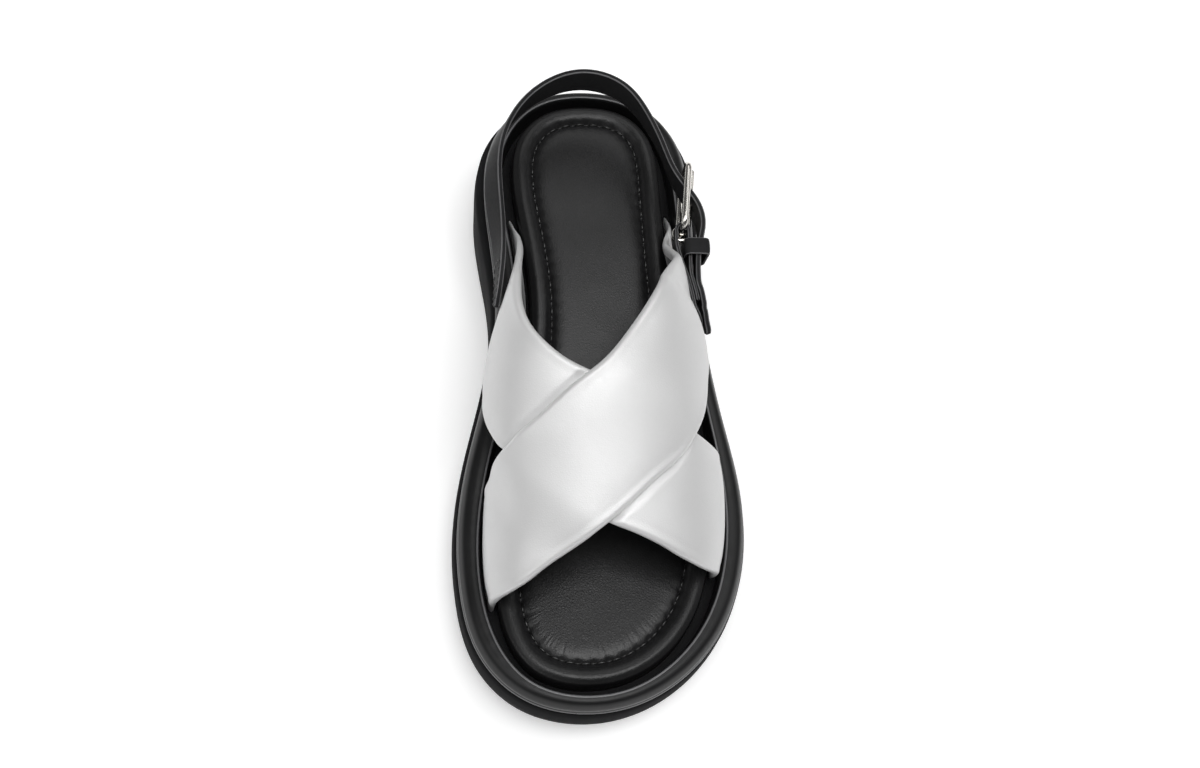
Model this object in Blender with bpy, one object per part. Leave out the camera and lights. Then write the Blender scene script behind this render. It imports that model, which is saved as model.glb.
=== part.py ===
"""Left sandal: crossed padded bands on a rolled-rim sole, with a buckled heel strap.

Sizes are in millimetres and turned to metres when a mesh is made.
+X is the outer side of the foot, +Y runs to the heel, +Z is up.
"""
import math

import bmesh
import bpy
import numpy as np
from mathutils import Matrix

MM = 0.001
PIECE_GAP = 0.3

# sole, rim and insole
RING_POINTS = 100
FINE_POINTS = 720
DECK_DROP = 9.0
TOE_RISE = 9.0
SPRING_START = -72.0
TOE_END = -132.0
ARCH_RISE = 1.5
ARCH_MIDDLE = 10.0
ARCH_HALF = 35.0
RIM_RISE = 0.8
GROOVE_FRONT = -114.0
GROOVE_REAR = 106.0

# upper
BAND_THICK = 4.2
WING_THICK = 2.8
WING_START = 16.0
WING_FULL = 46.0
BAND_SINK = 8.6
BAND_STATIONS = 46
CROSS_LIFT = 3.8
CROSS_EASE = 15.0
EDGE_STRETCH = 2.6

# the last's sections
LAST_POWER = 2.15
BELLY_LOW = 2.0
BELLY_FULL = 3.0
BELLY_POWER = 1.6
WALL_STEPS = 30
DOME_STEPS = 60
GRID_FRONT = -104.0
GRID_REAR = 82.0
GRID_ROWS = 94
GRID_HALF = 45

# heel strap, tab and keeper
STRAP_WIDE = 12.4
STRAP_THICK = 2.0
STRAP_STATIONS = 78
TIP_LENGTH = 11.0
TIP_BLUNT = 0.2
INNER_END = 62.0
TAIL_END = 44.0
TAIL_ROW = 12
TAB_THICK = 1.4
TAB_WIDE = 11.0
WALL_BOW = 0.5
TAB_FRONT = 14.0
TAB_END = 23.0
LEAF_PART = 37.0
LEAF_STEP = TAB_THICK + PIECE_GAP + 0.05
FOLD_RADIUS = 2.5
FOLD_Y = 50.0
INNER_STEPS = 12
FOLD_STEPS = 11
OUTER_STEPS = 10
TAB_NOSE = (0.45, 0.85)
KEEPER_WIDE = 6.6
KEEPER_THICK = 1.0
KEEPER_EASE = 0.15
KEEPER_CORNER = 1.2
KEEPER_Y = 43.0

# buckle
FRAME_LONG = 27.0
FRAME_WIDE = 19.0
WIRE = 2.8
FRAME_CORNER = 3.2
PRONG_WIRE = 2.0
FRAME_TILT = 7.0
FRAME_SWING = 6.5
SLOT_LONG = 11.0
SLOT_DEEP = 14.0

# rim line of the sole seen from above, starting at the toe and going up the inner side
# inset: rim line to insole edge, groove: slot the bands stand in, flare: sole beyond the rim line
PLAN_COLUMNS = ("x", "y", "inset", "groove", "flare")
PLAN = (
    (-9.0, -130.4, 8.4, 3.0, 1.5),
    (-33.0, -123.5, 9.0, 3.0, 1.5),
    (-47.5, -107.0, 11.2, 3.6, 1.5),
    (-53.9, -83.0, 13.0, 5.0, 1.7),
    (-54.8, -60.0, 13.5, 5.0, 1.9),
    (-50.4, -30.0, 13.9, 5.0, 2.1),
    (-43.0, 0.0, 14.0, 5.0, 2.2),
    (-39.4, 30.0, 13.4, 5.0, 2.4),
    (-41.6, 60.0, 12.4, 5.0, 3.6),
    (-43.6, 84.0, 11.2, 4.6, 4.0),
    (-38.5, 111.0, 10.0, 3.2, 3.0),
    (-23.5, 126.6, 9.0, 3.0, 2.0),
    (-1.0, 131.9, 8.7, 3.0, 1.5),
    (22.0, 126.4, 9.2, 3.0, 2.0),
    (36.6, 110.6, 11.2, 3.2, 3.0),
    (42.0, 84.0, 13.0, 4.6, 3.4),
    (42.4, 55.0, 12.6, 5.0, 2.7),
    (44.6, 20.0, 12.1, 5.0, 2.0),
    (50.0, -15.0, 12.2, 5.0, 1.7),
    (55.2, -45.0, 13.2, 5.0, 1.7),
    (53.2, -76.0, 13.2, 5.0, 1.5),
    (42.8, -101.3, 11.2, 3.8, 1.0),
    (26.2, -119.0, 9.4, 3.0, 1.0),
    (9.2, -127.8, 8.6, 3.0, 1.2),
)

# height of the insole's middle along the foot
BED_COLUMNS = ("y", "height")
BED = (
    (-134.0, 32.4),
    (-105.0, 30.2),
    (-75.0, 29.0),
    (-45.0, 29.6),
    (-15.0, 32.6),
    (15.0, 36.6),
    (45.0, 40.4),
    (75.0, 42.6),
    (105.0, 43.6),
    (136.0, 44.0),
)

# outsole rings from the tread up: how far out from the rim line plus flare, and the height
# low rings count up from the tread, high rings count down from the deck
SOLE_COLUMNS = ("out", "from_deck", "height")
SOLE = (
    (-7.0, False, 0.0),
    (-3.0, False, 0.0),
    (-0.9, False, 1.0),
    (-0.2, False, 3.6),
    (0.3, True, 9.0),
    (0.0, True, 3.6),
    (-0.9, True, 1.0),
    (-2.2, True, 0.0),
)

# rim section: share of the rim's width in from the rim line, extra out, height from the crest
RIM_COLUMNS = ("share", "extra", "from_deck", "height")
RIM = (
    (1.0, 0.0, True, 0.0),
    (1.0, 0.0, False, -3.4),
    (1.0, 0.6, False, -1.2),
    (1.0, 2.0, False, 0.0),
    (0.52, 0.0, False, 0.1),
    (0.28, 0.0, False, -1.3),
    (0.10, 0.0, False, -3.5),
    (0.0, 0.0, False, -5.8),
    (0.0, -0.3, False, -7.4),
    (0.0, -1.4, True, 0.0),
)

# insole section: distance in from its edge, and height from the bed
PAD_COLUMNS = ("inward", "from_deck", "height")
PAD = (
    (0.0, True, 0.0),
    (0.0, False, -2.4),
    (0.7, False, 0.0),
    (2.4, False, 1.3),
    (4.6, False, 1.4),
    (6.9, False, 0.2),
    (8.6, False, -1.2),
    (10.4, False, -0.5),
    (14.0, False, 0.1),
)

# the last: height over the bed, ridge line, and how far each side bellies out
LAST_COLUMNS = ("y", "top", "ridge", "inner_belly", "outer_belly", "belly_height")
LAST = (
    (-105.0, 23.0, -6.0, 0.0, 0.0, 12.0),
    (-73.0, 31.0, -6.0, 0.0, 0.0, 13.0),
    (-45.0, 40.0, -7.0, 1.5, 0.0, 15.0),
    (-20.0, 48.0, -8.0, 8.0, 0.8, 18.0),
    (0.0, 53.0, -8.0, 10.4, 1.8, 18.0),
    (15.0, 56.0, -7.3, 8.6, 0.8, 17.0),
    (30.0, 58.5, -6.0, 4.8, -2.8, 19.0),
    (45.0, 60.0, -5.0, 1.4, -5.4, 18.0),
    (60.0, 61.0, -4.0, -1.0, -4.5, 17.0),
    (84.0, 62.0, -3.0, -1.0, -2.0, 16.0),
)

# bands on the last: round is -1 at the inner groove, 0 at the ridge, 1 at the outer groove
BAND_COLUMNS = ("round", "front", "rear")
OVER_BAND = (
    (-1.00, -91.0, -49.0),
    (-0.75, -92.0, -48.0),
    (-0.61, -91.5, -46.5),
    (-0.46, -89.5, -41.5),
    (-0.27, -83.5, -34.5),
    (-0.08, -77.0, -23.5),
    (0.05, -70.5, -15.5),
    (0.19, -61.0, -0.5),
    (0.28, -54.0, 11.5),
    (0.39, -46.0, 24.0),
    (0.53, -27.0, 35.5),
    (0.66, -6.0, 45.0),
    (0.80, 5.0, 57.5),
    (1.00, 12.0, 75.0),
)
UNDER_BAND = (
    (-1.00, -2.0, 72.0),
    (-0.79, -10.0, 53.5),
    (-0.68, -18.0, 45.0),
    (-0.58, -30.0, 36.0),
    (-0.46, -42.5, 24.5),
    (-0.37, -48.5, 13.0),
    (-0.25, -54.5, -3.0),
    (-0.10, -63.0, -15.0),
    (0.07, -70.5, -21.5),
    (0.19, -73.5, -26.5),
    (0.32, -77.0, -31.0),
    (0.47, -81.0, -34.5),
    (0.64, -83.0, -36.5),
    (0.80, -82.0, -36.0),
    (1.00, -79.0, -33.0),
)

# band edge: distance from the edge and share of the half thickness there
EDGE_COLUMNS = ("distance", "share")
EDGE = (
    (0.0, 0.0),
    (0.45, 0.62),
    (1.5, 0.9),
    (4.0, 1.0),
)

# middle line of the heel strap; lean: how far its lower edge stands outside its upper edge
STRAP_COLUMNS = ("x", "y", "z", "lean")
STRAP = (
    (-40.4, 19.0, 57.5, 1.0),
    (-39.5, 28.0, 59.5, 1.5),
    (-39.2, 42.0, 62.0, 3.0),
    (-40.3, 56.0, 63.5, 4.5),
    (-41.3, 70.0, 65.0, 5.0),
    (-40.0, 84.0, 66.8, 4.2),
    (-34.0, 98.0, 68.8, 2.8),
    (-22.0, 110.5, 70.0, 1.2),
    (-4.0, 117.0, 70.4, 0.3),
    (12.0, 111.5, 69.8, 0.6),
    (21.5, 98.5, 68.5, 1.5),
    (27.0, 86.0, 66.8, 2.0),
    (31.0, 75.0, 64.8, 1.5),
    (35.6, 67.0, 63.4, 0.6),
    (39.6, 60.0, 62.4, 0.2),
    (41.0, 52.0, 61.4, 0.2),
    (39.4, 43.0, 59.8, 0.6),
    (38.6, 32.0, 57.3, 1.0),
    (39.0, 22.0, 54.8, 1.0),
    (39.6, 11.0, 52.0, 1.0),
)

# finish of each piece: colour, metallic, roughness
FINISH = {
    "outsole": ((0.012, 0.012, 0.013), 0.0, 0.62),
    "rim": ((0.016, 0.016, 0.017), 0.0, 0.48),
    "insole": ((0.022, 0.022, 0.024), 0.0, 0.55),
    "upper": ((0.62, 0.62, 0.63), 0.35, 0.42),
    "heel_strap": ((0.014, 0.014, 0.015), 0.0, 0.45),
    "buckle_tab": ((0.014, 0.014, 0.015), 0.0, 0.45),
    "buckle_frame": ((0.72, 0.70, 0.66), 1.0, 0.2),
    "buckle_prong": ((0.72, 0.70, 0.66), 1.0, 0.2),
    "keeper_loop": ((0.014, 0.014, 0.015), 0.0, 0.45),
}


def column(rows, columns, name):
    """One named column of a table."""
    place = columns.index(name)
    return np.array([row[place] for row in rows], float)


def curve(xs, ys, x):
    """Natural cubic through a short table."""
    count = len(xs)
    step = np.diff(xs)
    left = np.eye(count)
    right = np.zeros(count)
    for i in range(1, count - 1):
        left[i, i - 1] = step[i - 1]
        left[i, i] = 2.0 * (step[i - 1] + step[i])
        left[i, i + 1] = step[i]
        right[i] = 6.0 * ((ys[i + 1] - ys[i]) / step[i] - (ys[i] - ys[i - 1]) / step[i - 1])
    bend = np.linalg.solve(left, right)
    x = np.clip(np.asarray(x, float), xs[0], xs[-1])
    i = np.clip(np.searchsorted(xs, x) - 1, 0, count - 2)
    t = (x - xs[i]) / step[i]
    u = 1.0 - t
    part = (u ** 3 - u) * bend[i] + (t ** 3 - t) * bend[i + 1]
    return u * ys[i] + t * ys[i + 1] + part * step[i] ** 2 / 6.0


def steady(xs, ys, x):
    """Cubic through a table that never swings past its rows."""
    step = np.diff(xs)
    slope = np.diff(ys) / step
    lean = np.zeros(len(xs))
    for i in range(1, len(xs) - 1):
        if slope[i - 1] * slope[i] > 0.0:
            lean[i] = 2.0 * slope[i - 1] * slope[i] / (slope[i - 1] + slope[i])
    lean[0] = slope[0]
    lean[-1] = slope[-1]
    x = np.clip(np.asarray(x, float), xs[0], xs[-1])
    i = np.clip(np.searchsorted(xs, x) - 1, 0, len(xs) - 2)
    t = (x - xs[i]) / step[i]
    first = (2.0 * t ** 3 - 3.0 * t ** 2 + 1.0) * ys[i] + (t ** 3 - 2.0 * t ** 2 + t) * step[i] * lean[i]
    second = (3.0 * t ** 2 - 2.0 * t ** 3) * ys[i + 1] + (t ** 3 - t ** 2) * step[i] * lean[i + 1]
    return first + second


def closed_curve(rows, count):
    """Smooth closed curve through the plan table, evenly spaced by length."""
    p = np.array(rows, float)
    n = len(p)
    step = np.linalg.norm(np.roll(p, -1, 0)[:, :2] - p[:, :2], axis=1)
    left = np.zeros((n, n))
    right = np.zeros(p.shape)
    for i in range(n):
        j = (i - 1) % n
        k = (i + 1) % n
        left[i, j] += step[j]
        left[i, i] += 2.0 * (step[j] + step[i])
        left[i, k] += step[i]
        right[i] = 6.0 * ((p[k] - p[i]) / step[i] - (p[i] - p[j]) / step[j])
    bend = np.linalg.solve(left, right)
    fine = []
    for i in range(n):
        k = (i + 1) % n
        for t in np.linspace(0.0, 1.0, 40, endpoint=False):
            u = 1.0 - t
            part = (u ** 3 - u) * bend[i] + (t ** 3 - t) * bend[k]
            fine.append(u * p[i] + t * p[k] + part * step[i] ** 2 / 6.0)
    fine.append(fine[0])
    fine = np.array(fine)
    along = np.linalg.norm(np.diff(fine[:, :2], axis=0), axis=1)
    along = np.concatenate([[0.0], np.cumsum(along)])
    want = np.linspace(0.0, along[-1], count, endpoint=False)
    return np.stack([np.interp(want, along, fine[:, c]) for c in range(p.shape[1])], 1)


def outward(plan):
    run = np.roll(plan, -1, 0) - np.roll(plan, 1, 0)
    run /= np.linalg.norm(run, axis=1)[:, None]
    side = np.stack([-run[:, 1], run[:, 0]], 1)
    if np.sum(side * (plan - plan.mean(0))) < 0.0:
        side = -side
    return side


def bed_height(y):
    return curve(column(BED, BED_COLUMNS, "y"), column(BED, BED_COLUMNS, "height"), y)


def ground_height(y):
    """Flat under the heel and the forefoot, lifted at the toe and a little at the waist."""
    y = np.asarray(y, float)
    spring = np.clip((SPRING_START - y) / (SPRING_START - TOE_END), 0.0, 1.2)
    arch = np.clip(1.0 - np.abs(y - ARCH_MIDDLE) / ARCH_HALF, 0.0, 1.0)
    return TOE_RISE * spring ** 1.8 + ARCH_RISE * arch ** 2 * (3.0 - 2.0 * arch)


OUTLINE = closed_curve(PLAN, RING_POINTS)
OUTLINE_SIDE = outward(OUTLINE[:, :2])
INSET = column(OUTLINE, PLAN_COLUMNS, "inset")
RIM_WIDE = INSET - column(OUTLINE, PLAN_COLUMNS, "groove")
FLARE = column(OUTLINE, PLAN_COLUMNS, "flare")


def groove_line():
    """Middle line of the slot between rim and insole, finely stepped."""
    fine = closed_curve(PLAN, FINE_POINTS)
    depth = column(fine, PLAN_COLUMNS, "inset") - column(fine, PLAN_COLUMNS, "groove") / 2.0
    return fine[:, :2] - outward(fine[:, :2]) * depth[:, None]


GROOVE_LINE = groove_line()


def plan_ring(out, height):
    flat = OUTLINE[:, :2] + OUTLINE_SIDE * out[:, None]
    return np.column_stack([flat, height(flat[:, 1])])


def deck_height(y):
    return bed_height(y) - DECK_DROP


def ladder(ring_start, count, flip):
    """Close a ring across the foot, rung by rung."""
    faces = []
    half = count // 2
    for i in range(half):
        a = i
        b = i + 1
        c = (count - i - 1) % count
        d = (count - i) % count
        loop = []
        for k in (a, b, c, d):
            if k not in loop:
                loop.append(k)
        if len(loop) < 3:
            continue
        loop = [ring_start + k for k in loop]
        faces.append(loop[::-1] if flip else loop)
    return faces


def loft(rings, close_rings, caps):
    count = len(rings[0])
    verts = np.vstack(rings)
    faces = []
    last = len(rings) if close_rings else len(rings) - 1
    for r in range(last):
        here = r * count
        there = ((r + 1) % len(rings)) * count
        for i in range(count):
            k = (i + 1) % count
            faces.append([here + i, here + k, there + k, there + i])
    if caps:
        faces += ladder(0, count, True)
        faces += ladder((len(rings) - 1) * count, count, False)
    return verts, faces


def collection(name):
    group = bpy.data.collections.new(name)
    bpy.context.scene.collection.children.link(group)
    return group


def material(name):
    tone, metal, rough = FINISH[name]
    mat = bpy.data.materials.new(name)
    mat.use_nodes = True
    node = mat.node_tree.nodes["Principled BSDF"]
    node.inputs["Base Color"].default_value = (tone[0], tone[1], tone[2], 1.0)
    node.inputs["Metallic"].default_value = metal
    node.inputs["Roughness"].default_value = rough
    mat.diffuse_color = (tone[0], tone[1], tone[2], 1.0)
    return mat


def piece(name, verts, faces, group, finish=True):
    mesh = bpy.data.meshes.new(name)
    mesh.from_pydata([tuple(v) for v in np.asarray(verts) * MM], [], faces)
    edit = bmesh.new()
    edit.from_mesh(mesh)
    bmesh.ops.recalc_face_normals(edit, faces=edit.faces)
    bmesh.ops.triangulate(edit, faces=edit.faces)
    edit.to_mesh(mesh)
    edit.free()
    obj = bpy.data.objects.new(name, mesh)
    group.objects.link(obj)
    if finish:
        mesh.materials.append(material(name))
    else:
        obj.hide_render = True
        obj.display_type = "WIRE"
    return obj


def boolean(obj, tool, kind):
    mod = obj.modifiers.new(kind.lower() + "_" + tool.name, "BOOLEAN")
    mod.operation = kind
    mod.solver = "EXACT"
    mod.object = tool


def build_outsole(group):
    rings = []
    for out, from_deck, height in SOLE:
        if from_deck:
            rings.append(plan_ring(FLARE + out, lambda y, h=height: deck_height(y) - h))
        else:
            rings.append(plan_ring(FLARE + out, lambda y, h=height: ground_height(y) + h))
    rings.append(plan_ring(-INSET, deck_height))
    verts, faces = loft(rings, False, True)
    return piece("outsole", verts, faces, group)


def build_rim(group):
    rings = []
    for share, extra, from_deck, height in RIM:
        out = extra - share * RIM_WIDE
        if from_deck:
            rings.append(plan_ring(out, lambda y: deck_height(y) + PIECE_GAP))
        else:
            rings.append(plan_ring(out, lambda y, h=height: bed_height(y) + RIM_RISE + h))
    verts, faces = loft(rings, True, False)
    return piece("rim", verts, faces, group)


def build_insole(group):
    rings = []
    for inward, from_deck, height in PAD:
        out = -INSET - inward
        if from_deck:
            rings.append(plan_ring(out, lambda y: deck_height(y) + PIECE_GAP))
        else:
            rings.append(plan_ring(out, lambda y, h=height: bed_height(y) + h))
    verts, faces = loft(rings, False, True)
    return piece("insole", verts, faces, group)


def groove_x(y, side):
    rows = GROOVE_LINE[GROOVE_LINE[:, 0] * side > 0.0]
    rows = rows[(rows[:, 1] > GROOVE_FRONT) & (rows[:, 1] < GROOVE_REAR)]
    order = np.argsort(rows[:, 1])
    return float(np.interp(y, rows[order, 1], rows[order, 0]))


def last_value(y, name):
    return float(curve(column(LAST, LAST_COLUMNS, "y"), column(LAST, LAST_COLUMNS, name), y))


def last_side(y, side, count):
    """One half of the last's section from the groove up to the ridge, evenly spaced."""
    bed = float(bed_height(y))
    top = bed + last_value(y, "top")
    ridge = last_value(y, "ridge")
    belly = last_value(y, "inner_belly" if side < 0 else "outer_belly")
    base = groove_x(y, side)
    wide = base + side * belly
    share = min(1.0, abs(belly) / BELLY_FULL)
    level = bed + BELLY_LOW + (last_value(y, "belly_height") - BELLY_LOW) * share
    foot = bed - BAND_SINK
    points = []
    for t in np.linspace(0.0, 1.0, WALL_STEPS):
        z = foot + t * (level - foot)
        rise = min(1.0, max(0.0, (z - bed + 1.0) / (level - bed + 1.0)))
        points.append((base + (wide - base) * math.sin(rise * math.pi / 2.0) ** BELLY_POWER, z))
    power = 2.0 / LAST_POWER
    for t in np.linspace(0.0, math.pi / 2.0, DOME_STEPS)[1:]:
        x = ridge + (wide - ridge) * max(math.cos(t), 0.0) ** power
        points.append((x, level + (top - level) * math.sin(t) ** power))
    points = np.array(points)
    along = np.linalg.norm(np.diff(points, axis=0), axis=1)
    along = np.concatenate([[0.0], np.cumsum(along)])
    want = np.linspace(0.0, along[-1], count)
    return np.stack([np.interp(want, along, points[:, c]) for c in range(2)], 1)


GRID_Y = np.linspace(GRID_FRONT, GRID_REAR, GRID_ROWS)
GRID_ROUND = np.linspace(-1.0, 1.0, 2 * GRID_HALF - 1)


def last_grid():
    rows = []
    for y in GRID_Y:
        inner = last_side(y, -1, GRID_HALF)
        outer = last_side(y, 1, GRID_HALF)
        line = np.vstack([inner, outer[::-1][1:]])
        rows.append(np.column_stack([line[:, 0], np.full(len(line), y), line[:, 1]]))
    grid = np.array(rows)
    face = np.cross(np.gradient(grid, axis=1), np.gradient(grid, axis=0))
    face /= np.linalg.norm(face, axis=2)[:, :, None]
    if face[:, GRID_HALF - 1, 2].sum() < 0.0:
        face = -face
    return grid, face


LAST_POINTS, LAST_FACING = last_grid()


def on_grid(values, y, around):
    i = np.interp(y, GRID_Y, np.arange(len(GRID_Y)))
    j = np.interp(around, GRID_ROUND, np.arange(len(GRID_ROUND)))
    i0 = min(int(i), len(GRID_Y) - 2)
    j0 = min(int(j), len(GRID_ROUND) - 2)
    u = i - i0
    v = j - j0
    low = values[i0, j0] * (1.0 - v) + values[i0, j0 + 1] * v
    high = values[i0 + 1, j0] * (1.0 - v) + values[i0 + 1, j0 + 1] * v
    return low * (1.0 - u) + high * u


def last_x(y, z, side):
    line = last_side(y, side, 90)
    return float(np.interp(z, line[:, 1], line[:, 0]))


def beside_last(y, z, side, away):
    """A spot level with the last's side at height z, the given distance off its surface."""
    reach = 1.5
    slope = (last_x(y, z + reach, side) - last_x(y, z - reach, side)) / (2.0 * reach)
    return last_x(y, z, side) + side * away * math.hypot(1.0, slope)


def edge_y(rows, name, around):
    """How far along the foot a band's front or rear edge lies."""
    rounds = column(rows, BAND_COLUMNS, "round")
    return float(steady(rounds, column(rows, BAND_COLUMNS, name), around))


def cross_lift(y, around):
    """How far the over band is raised to pass on top of the under band."""
    front = edge_y(UNDER_BAND, "front", around)
    rear = edge_y(UNDER_BAND, "rear", around)
    inside = min(y - front, rear - y)
    return CROSS_LIFT * ease(1.0 + inside / CROSS_EASE)


def ease(share):
    share = min(1.0, max(0.0, share))
    return share * share * (3.0 - 2.0 * share)


def band_half(y):
    """Half the bands' thickness: the padding runs out towards their rear wings."""
    share = ease((y - WING_START) / (WING_FULL - WING_START))
    return (BAND_THICK + (WING_THICK - BAND_THICK) * share) / 2.0


def edge_stretch(rows, name, around):
    """How much a slanted edge stretches a distance measured along the foot."""
    reach = 0.02
    low = max(-1.0, around - reach)
    high = min(1.0, around + reach)
    y_low = edge_y(rows, name, low)
    y_high = edge_y(rows, name, high)
    a = on_grid(LAST_POINTS, y_low, low)
    b = on_grid(LAST_POINTS, y_low, high)
    return min(EDGE_STRETCH, math.hypot(1.0, (y_high - y_low) / np.linalg.norm(b - a)))


def band_mesh(rows, lifted):
    rings = []
    for around in np.linspace(-1.0, 1.0, BAND_STATIONS):
        front = edge_y(rows, "front", around)
        rear = edge_y(rows, "rear", around)
        front_half = [(front + d * edge_stretch(rows, "front", around), share) for d, share in EDGE]
        rear_half = [(rear - d * edge_stretch(rows, "rear", around), share) for d, share in EDGE[::-1]]
        flat_start = front_half[-1][0]
        flat_long = rear_half[0][0] - flat_start
        flat = [(flat_start + share * flat_long, 1.0) for share in (0.25, 0.5, 0.75)]
        across = front_half + flat + rear_half
        top = []
        under = []
        for y, share in across:
            point = on_grid(LAST_POINTS, y, around)
            face = on_grid(LAST_FACING, y, around)
            face = face / np.linalg.norm(face)
            lift = cross_lift(y, around) if lifted else 0.0
            half = band_half(y) * share
            top.append(point + face * (lift + half))
            under.append(point + face * (lift - half))
        rings.append(np.array(top + under[-2:0:-1]))
    return loft(rings, False, True)


def build_upper(group, tools):
    verts, faces = band_mesh(OVER_BAND, True)
    upper = piece("upper", verts, faces, group)
    verts, faces = band_mesh(UNDER_BAND, False)
    under = piece("under_band", verts, faces, tools, finish=False)
    boolean(upper, under, "UNION")
    return upper


def strip_rings(upper_edge, lower_edge, thick, widths):
    """Rings of a flat strip with eased corners, from its two edge lines."""
    middle = (upper_edge + lower_edge) / 2.0
    run = np.gradient(middle, axis=0)
    run /= np.linalg.norm(run, axis=1)[:, None]
    across = upper_edge - lower_edge
    across -= run * np.sum(across * run, axis=1)[:, None]
    across /= np.linalg.norm(across, axis=1)[:, None]
    face = np.cross(run, across)
    rings = []
    chamfer = thick * 0.28
    for c, w, f, wide in zip(middle, across, face, widths):
        h = wide / 2.0
        t = thick / 2.0
        shape = (
            (h, t - chamfer), (h - chamfer, t), (chamfer - h, t), (-h, t - chamfer),
            (-h, chamfer - t), (chamfer - h, -t), (h - chamfer, -t), (h, chamfer - t),
        )
        rings.append(np.array([c + w * a + f * b for a, b in shape]))
    return rings


def fan_caps(verts, faces, count, rings):
    faces.append(list(range(count))[::-1])
    start = (rings - 1) * count
    faces.append(list(range(start, start + count)))
    return verts, faces


def tip_widths(points, at_start, at_end):
    along = np.linalg.norm(np.diff(points, axis=0), axis=1)
    along = np.concatenate([[0.0], np.cumsum(along)])
    wide = np.full(len(points), STRAP_WIDE)
    if at_start:
        share = np.clip(along / TIP_LENGTH, 0.0, 1.0)
        wide *= TIP_BLUNT + (1.0 - TIP_BLUNT) * np.sqrt(share * (2.0 - share))
    if at_end:
        share = np.clip((along[-1] - along) / TIP_LENGTH, 0.0, 1.0)
        wide *= TIP_BLUNT + (1.0 - TIP_BLUNT) * np.sqrt(share * (2.0 - share))
    return wide


def stand_off(y, thick):
    """From the bands' middle surface to the middle of a strip lying on them."""
    return band_half(y) + PIECE_GAP + WALL_BOW + thick / 2.0


def strap_edges():
    """Upper and lower edge lines of the heel strap, kept clear of the bands and the tab."""
    rows = np.array(STRAP, float)
    along = np.linalg.norm(np.diff(rows[:, :3], axis=0), axis=1)
    along = np.concatenate([[0.0], np.cumsum(along)])
    want = np.linspace(0.0, along[-1], STRAP_STATIONS)
    line = np.stack([curve(along, rows[:, c], want) for c in range(len(STRAP_COLUMNS))], 1)
    middle = line[:, :3]
    run = np.gradient(middle, axis=0)
    out = np.column_stack([-run[:, 1], run[:, 0], np.zeros(len(run))])
    out /= np.linalg.norm(out, axis=1)[:, None]
    if out[0, 0] > 0.0:
        out = -out
    lean = column(line, STRAP_COLUMNS, "lean")
    rise = np.sqrt(STRAP_WIDE ** 2 - lean ** 2)
    offset = np.column_stack([np.zeros(len(rise)), np.zeros(len(rise)), rise])
    offset = (offset - out * lean[:, None]) / 2.0
    upper_edge = middle + offset
    lower_edge = middle - offset
    for i, (x, y, z) in enumerate(middle):
        clear = stand_off(y, STRAP_THICK)
        if x < 0.0 and y < INNER_END:
            for edge in (upper_edge, lower_edge):
                edge[i, 0] = min(edge[i, 0], beside_last(y, edge[i, 2], -1, clear))
        if x > 0.0 and y < TAIL_END:
            leaves = 1.0 + ease((y - TAB_FRONT + 2.0) / (TAB_END - TAB_FRONT))
            for edge in (upper_edge, lower_edge):
                edge[i, 0] = max(edge[i, 0], beside_last(y, edge[i, 2], 1, clear + leaves * LEAF_STEP))
    return upper_edge, lower_edge


def build_strap(group):
    upper_edge, lower_edge = strap_edges()
    widths = tip_widths((upper_edge + lower_edge) / 2.0, True, True)
    rings = strip_rings(upper_edge, lower_edge, STRAP_THICK, widths)
    verts, faces = loft(rings, False, False)
    verts, faces = fan_caps(verts, faces, 8, len(rings))
    return piece("heel_strap", verts, faces, group)


def side_height(y):
    """Middle height of the tab, the same line as the strap's tail."""
    rows = STRAP[TAIL_ROW:][::-1]
    return float(curve(column(rows, STRAP_COLUMNS, "y"), column(rows, STRAP_COLUMNS, "z"), y))


def inner_leaf(y, z):
    return beside_last(y, z, 1, stand_off(y, TAB_THICK))


FOLD_Z = side_height(FOLD_Y)
FOLD_X = max(inner_leaf(FOLD_Y, FOLD_Z + h) for h in (-TAB_WIDE / 2.0, 0.0)) + FOLD_RADIUS
FOLD_MIDDLE = np.array([FOLD_X, FOLD_Y, FOLD_Z])


def frame_axes():
    along = np.array([math.sin(math.radians(FRAME_SWING)), math.cos(math.radians(FRAME_SWING)),
                      math.sin(math.radians(FRAME_TILT))])
    along /= np.linalg.norm(along)
    up = np.array([0.0, 0.0, 1.0])
    up -= along * up.dot(along)
    up /= np.linalg.norm(up)
    out = np.cross(along, up)
    if out[0] < 0.0:
        out = -out
    return along, up, out


BAR_BACK = FOLD_RADIUS - TAB_THICK / 2.0 - PIECE_GAP - WIRE / 2.0
FRAME_BAR = FOLD_MIDDLE + frame_axes()[0] * BAR_BACK


def tab_edges():
    """Inner leaf on the band, round the buckle's bar, and back along the outside."""
    high = []
    low = []
    half = TAB_WIDE / 2.0
    for y in np.linspace(TAB_FRONT, FOLD_Y - 2.4 * FOLD_RADIUS, INNER_STEPS):
        z = side_height(y)
        high.append((inner_leaf(y, z + half), y, z + half))
        low.append((inner_leaf(y, z - half), y, z - half))
    along, up, out = frame_axes()
    for angle in np.radians(np.linspace(-90.0, 90.0, FOLD_STEPS)):
        spot = FOLD_MIDDLE + FOLD_RADIUS * (math.sin(angle) * out + math.cos(angle) * along)
        high.append(tuple(spot + up * half))
        low.append(tuple(spot - up * half))
    for y in np.linspace(FOLD_Y - 1.2 * FOLD_RADIUS, TAB_END, OUTER_STEPS):
        z = side_height(y)
        share = ease((LEAF_PART - y) / (LEAF_PART - TAB_END))
        for edge, h in ((high, half), (low, -half)):
            rest = beside_last(y, z + h, 1, stand_off(y, TAB_THICK) + LEAF_STEP)
            x = (FOLD_X + FOLD_RADIUS) * (1.0 - share) + rest * share
            edge.append((max(x, rest), y, z + h))
    return np.array(high), np.array(low)


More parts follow.
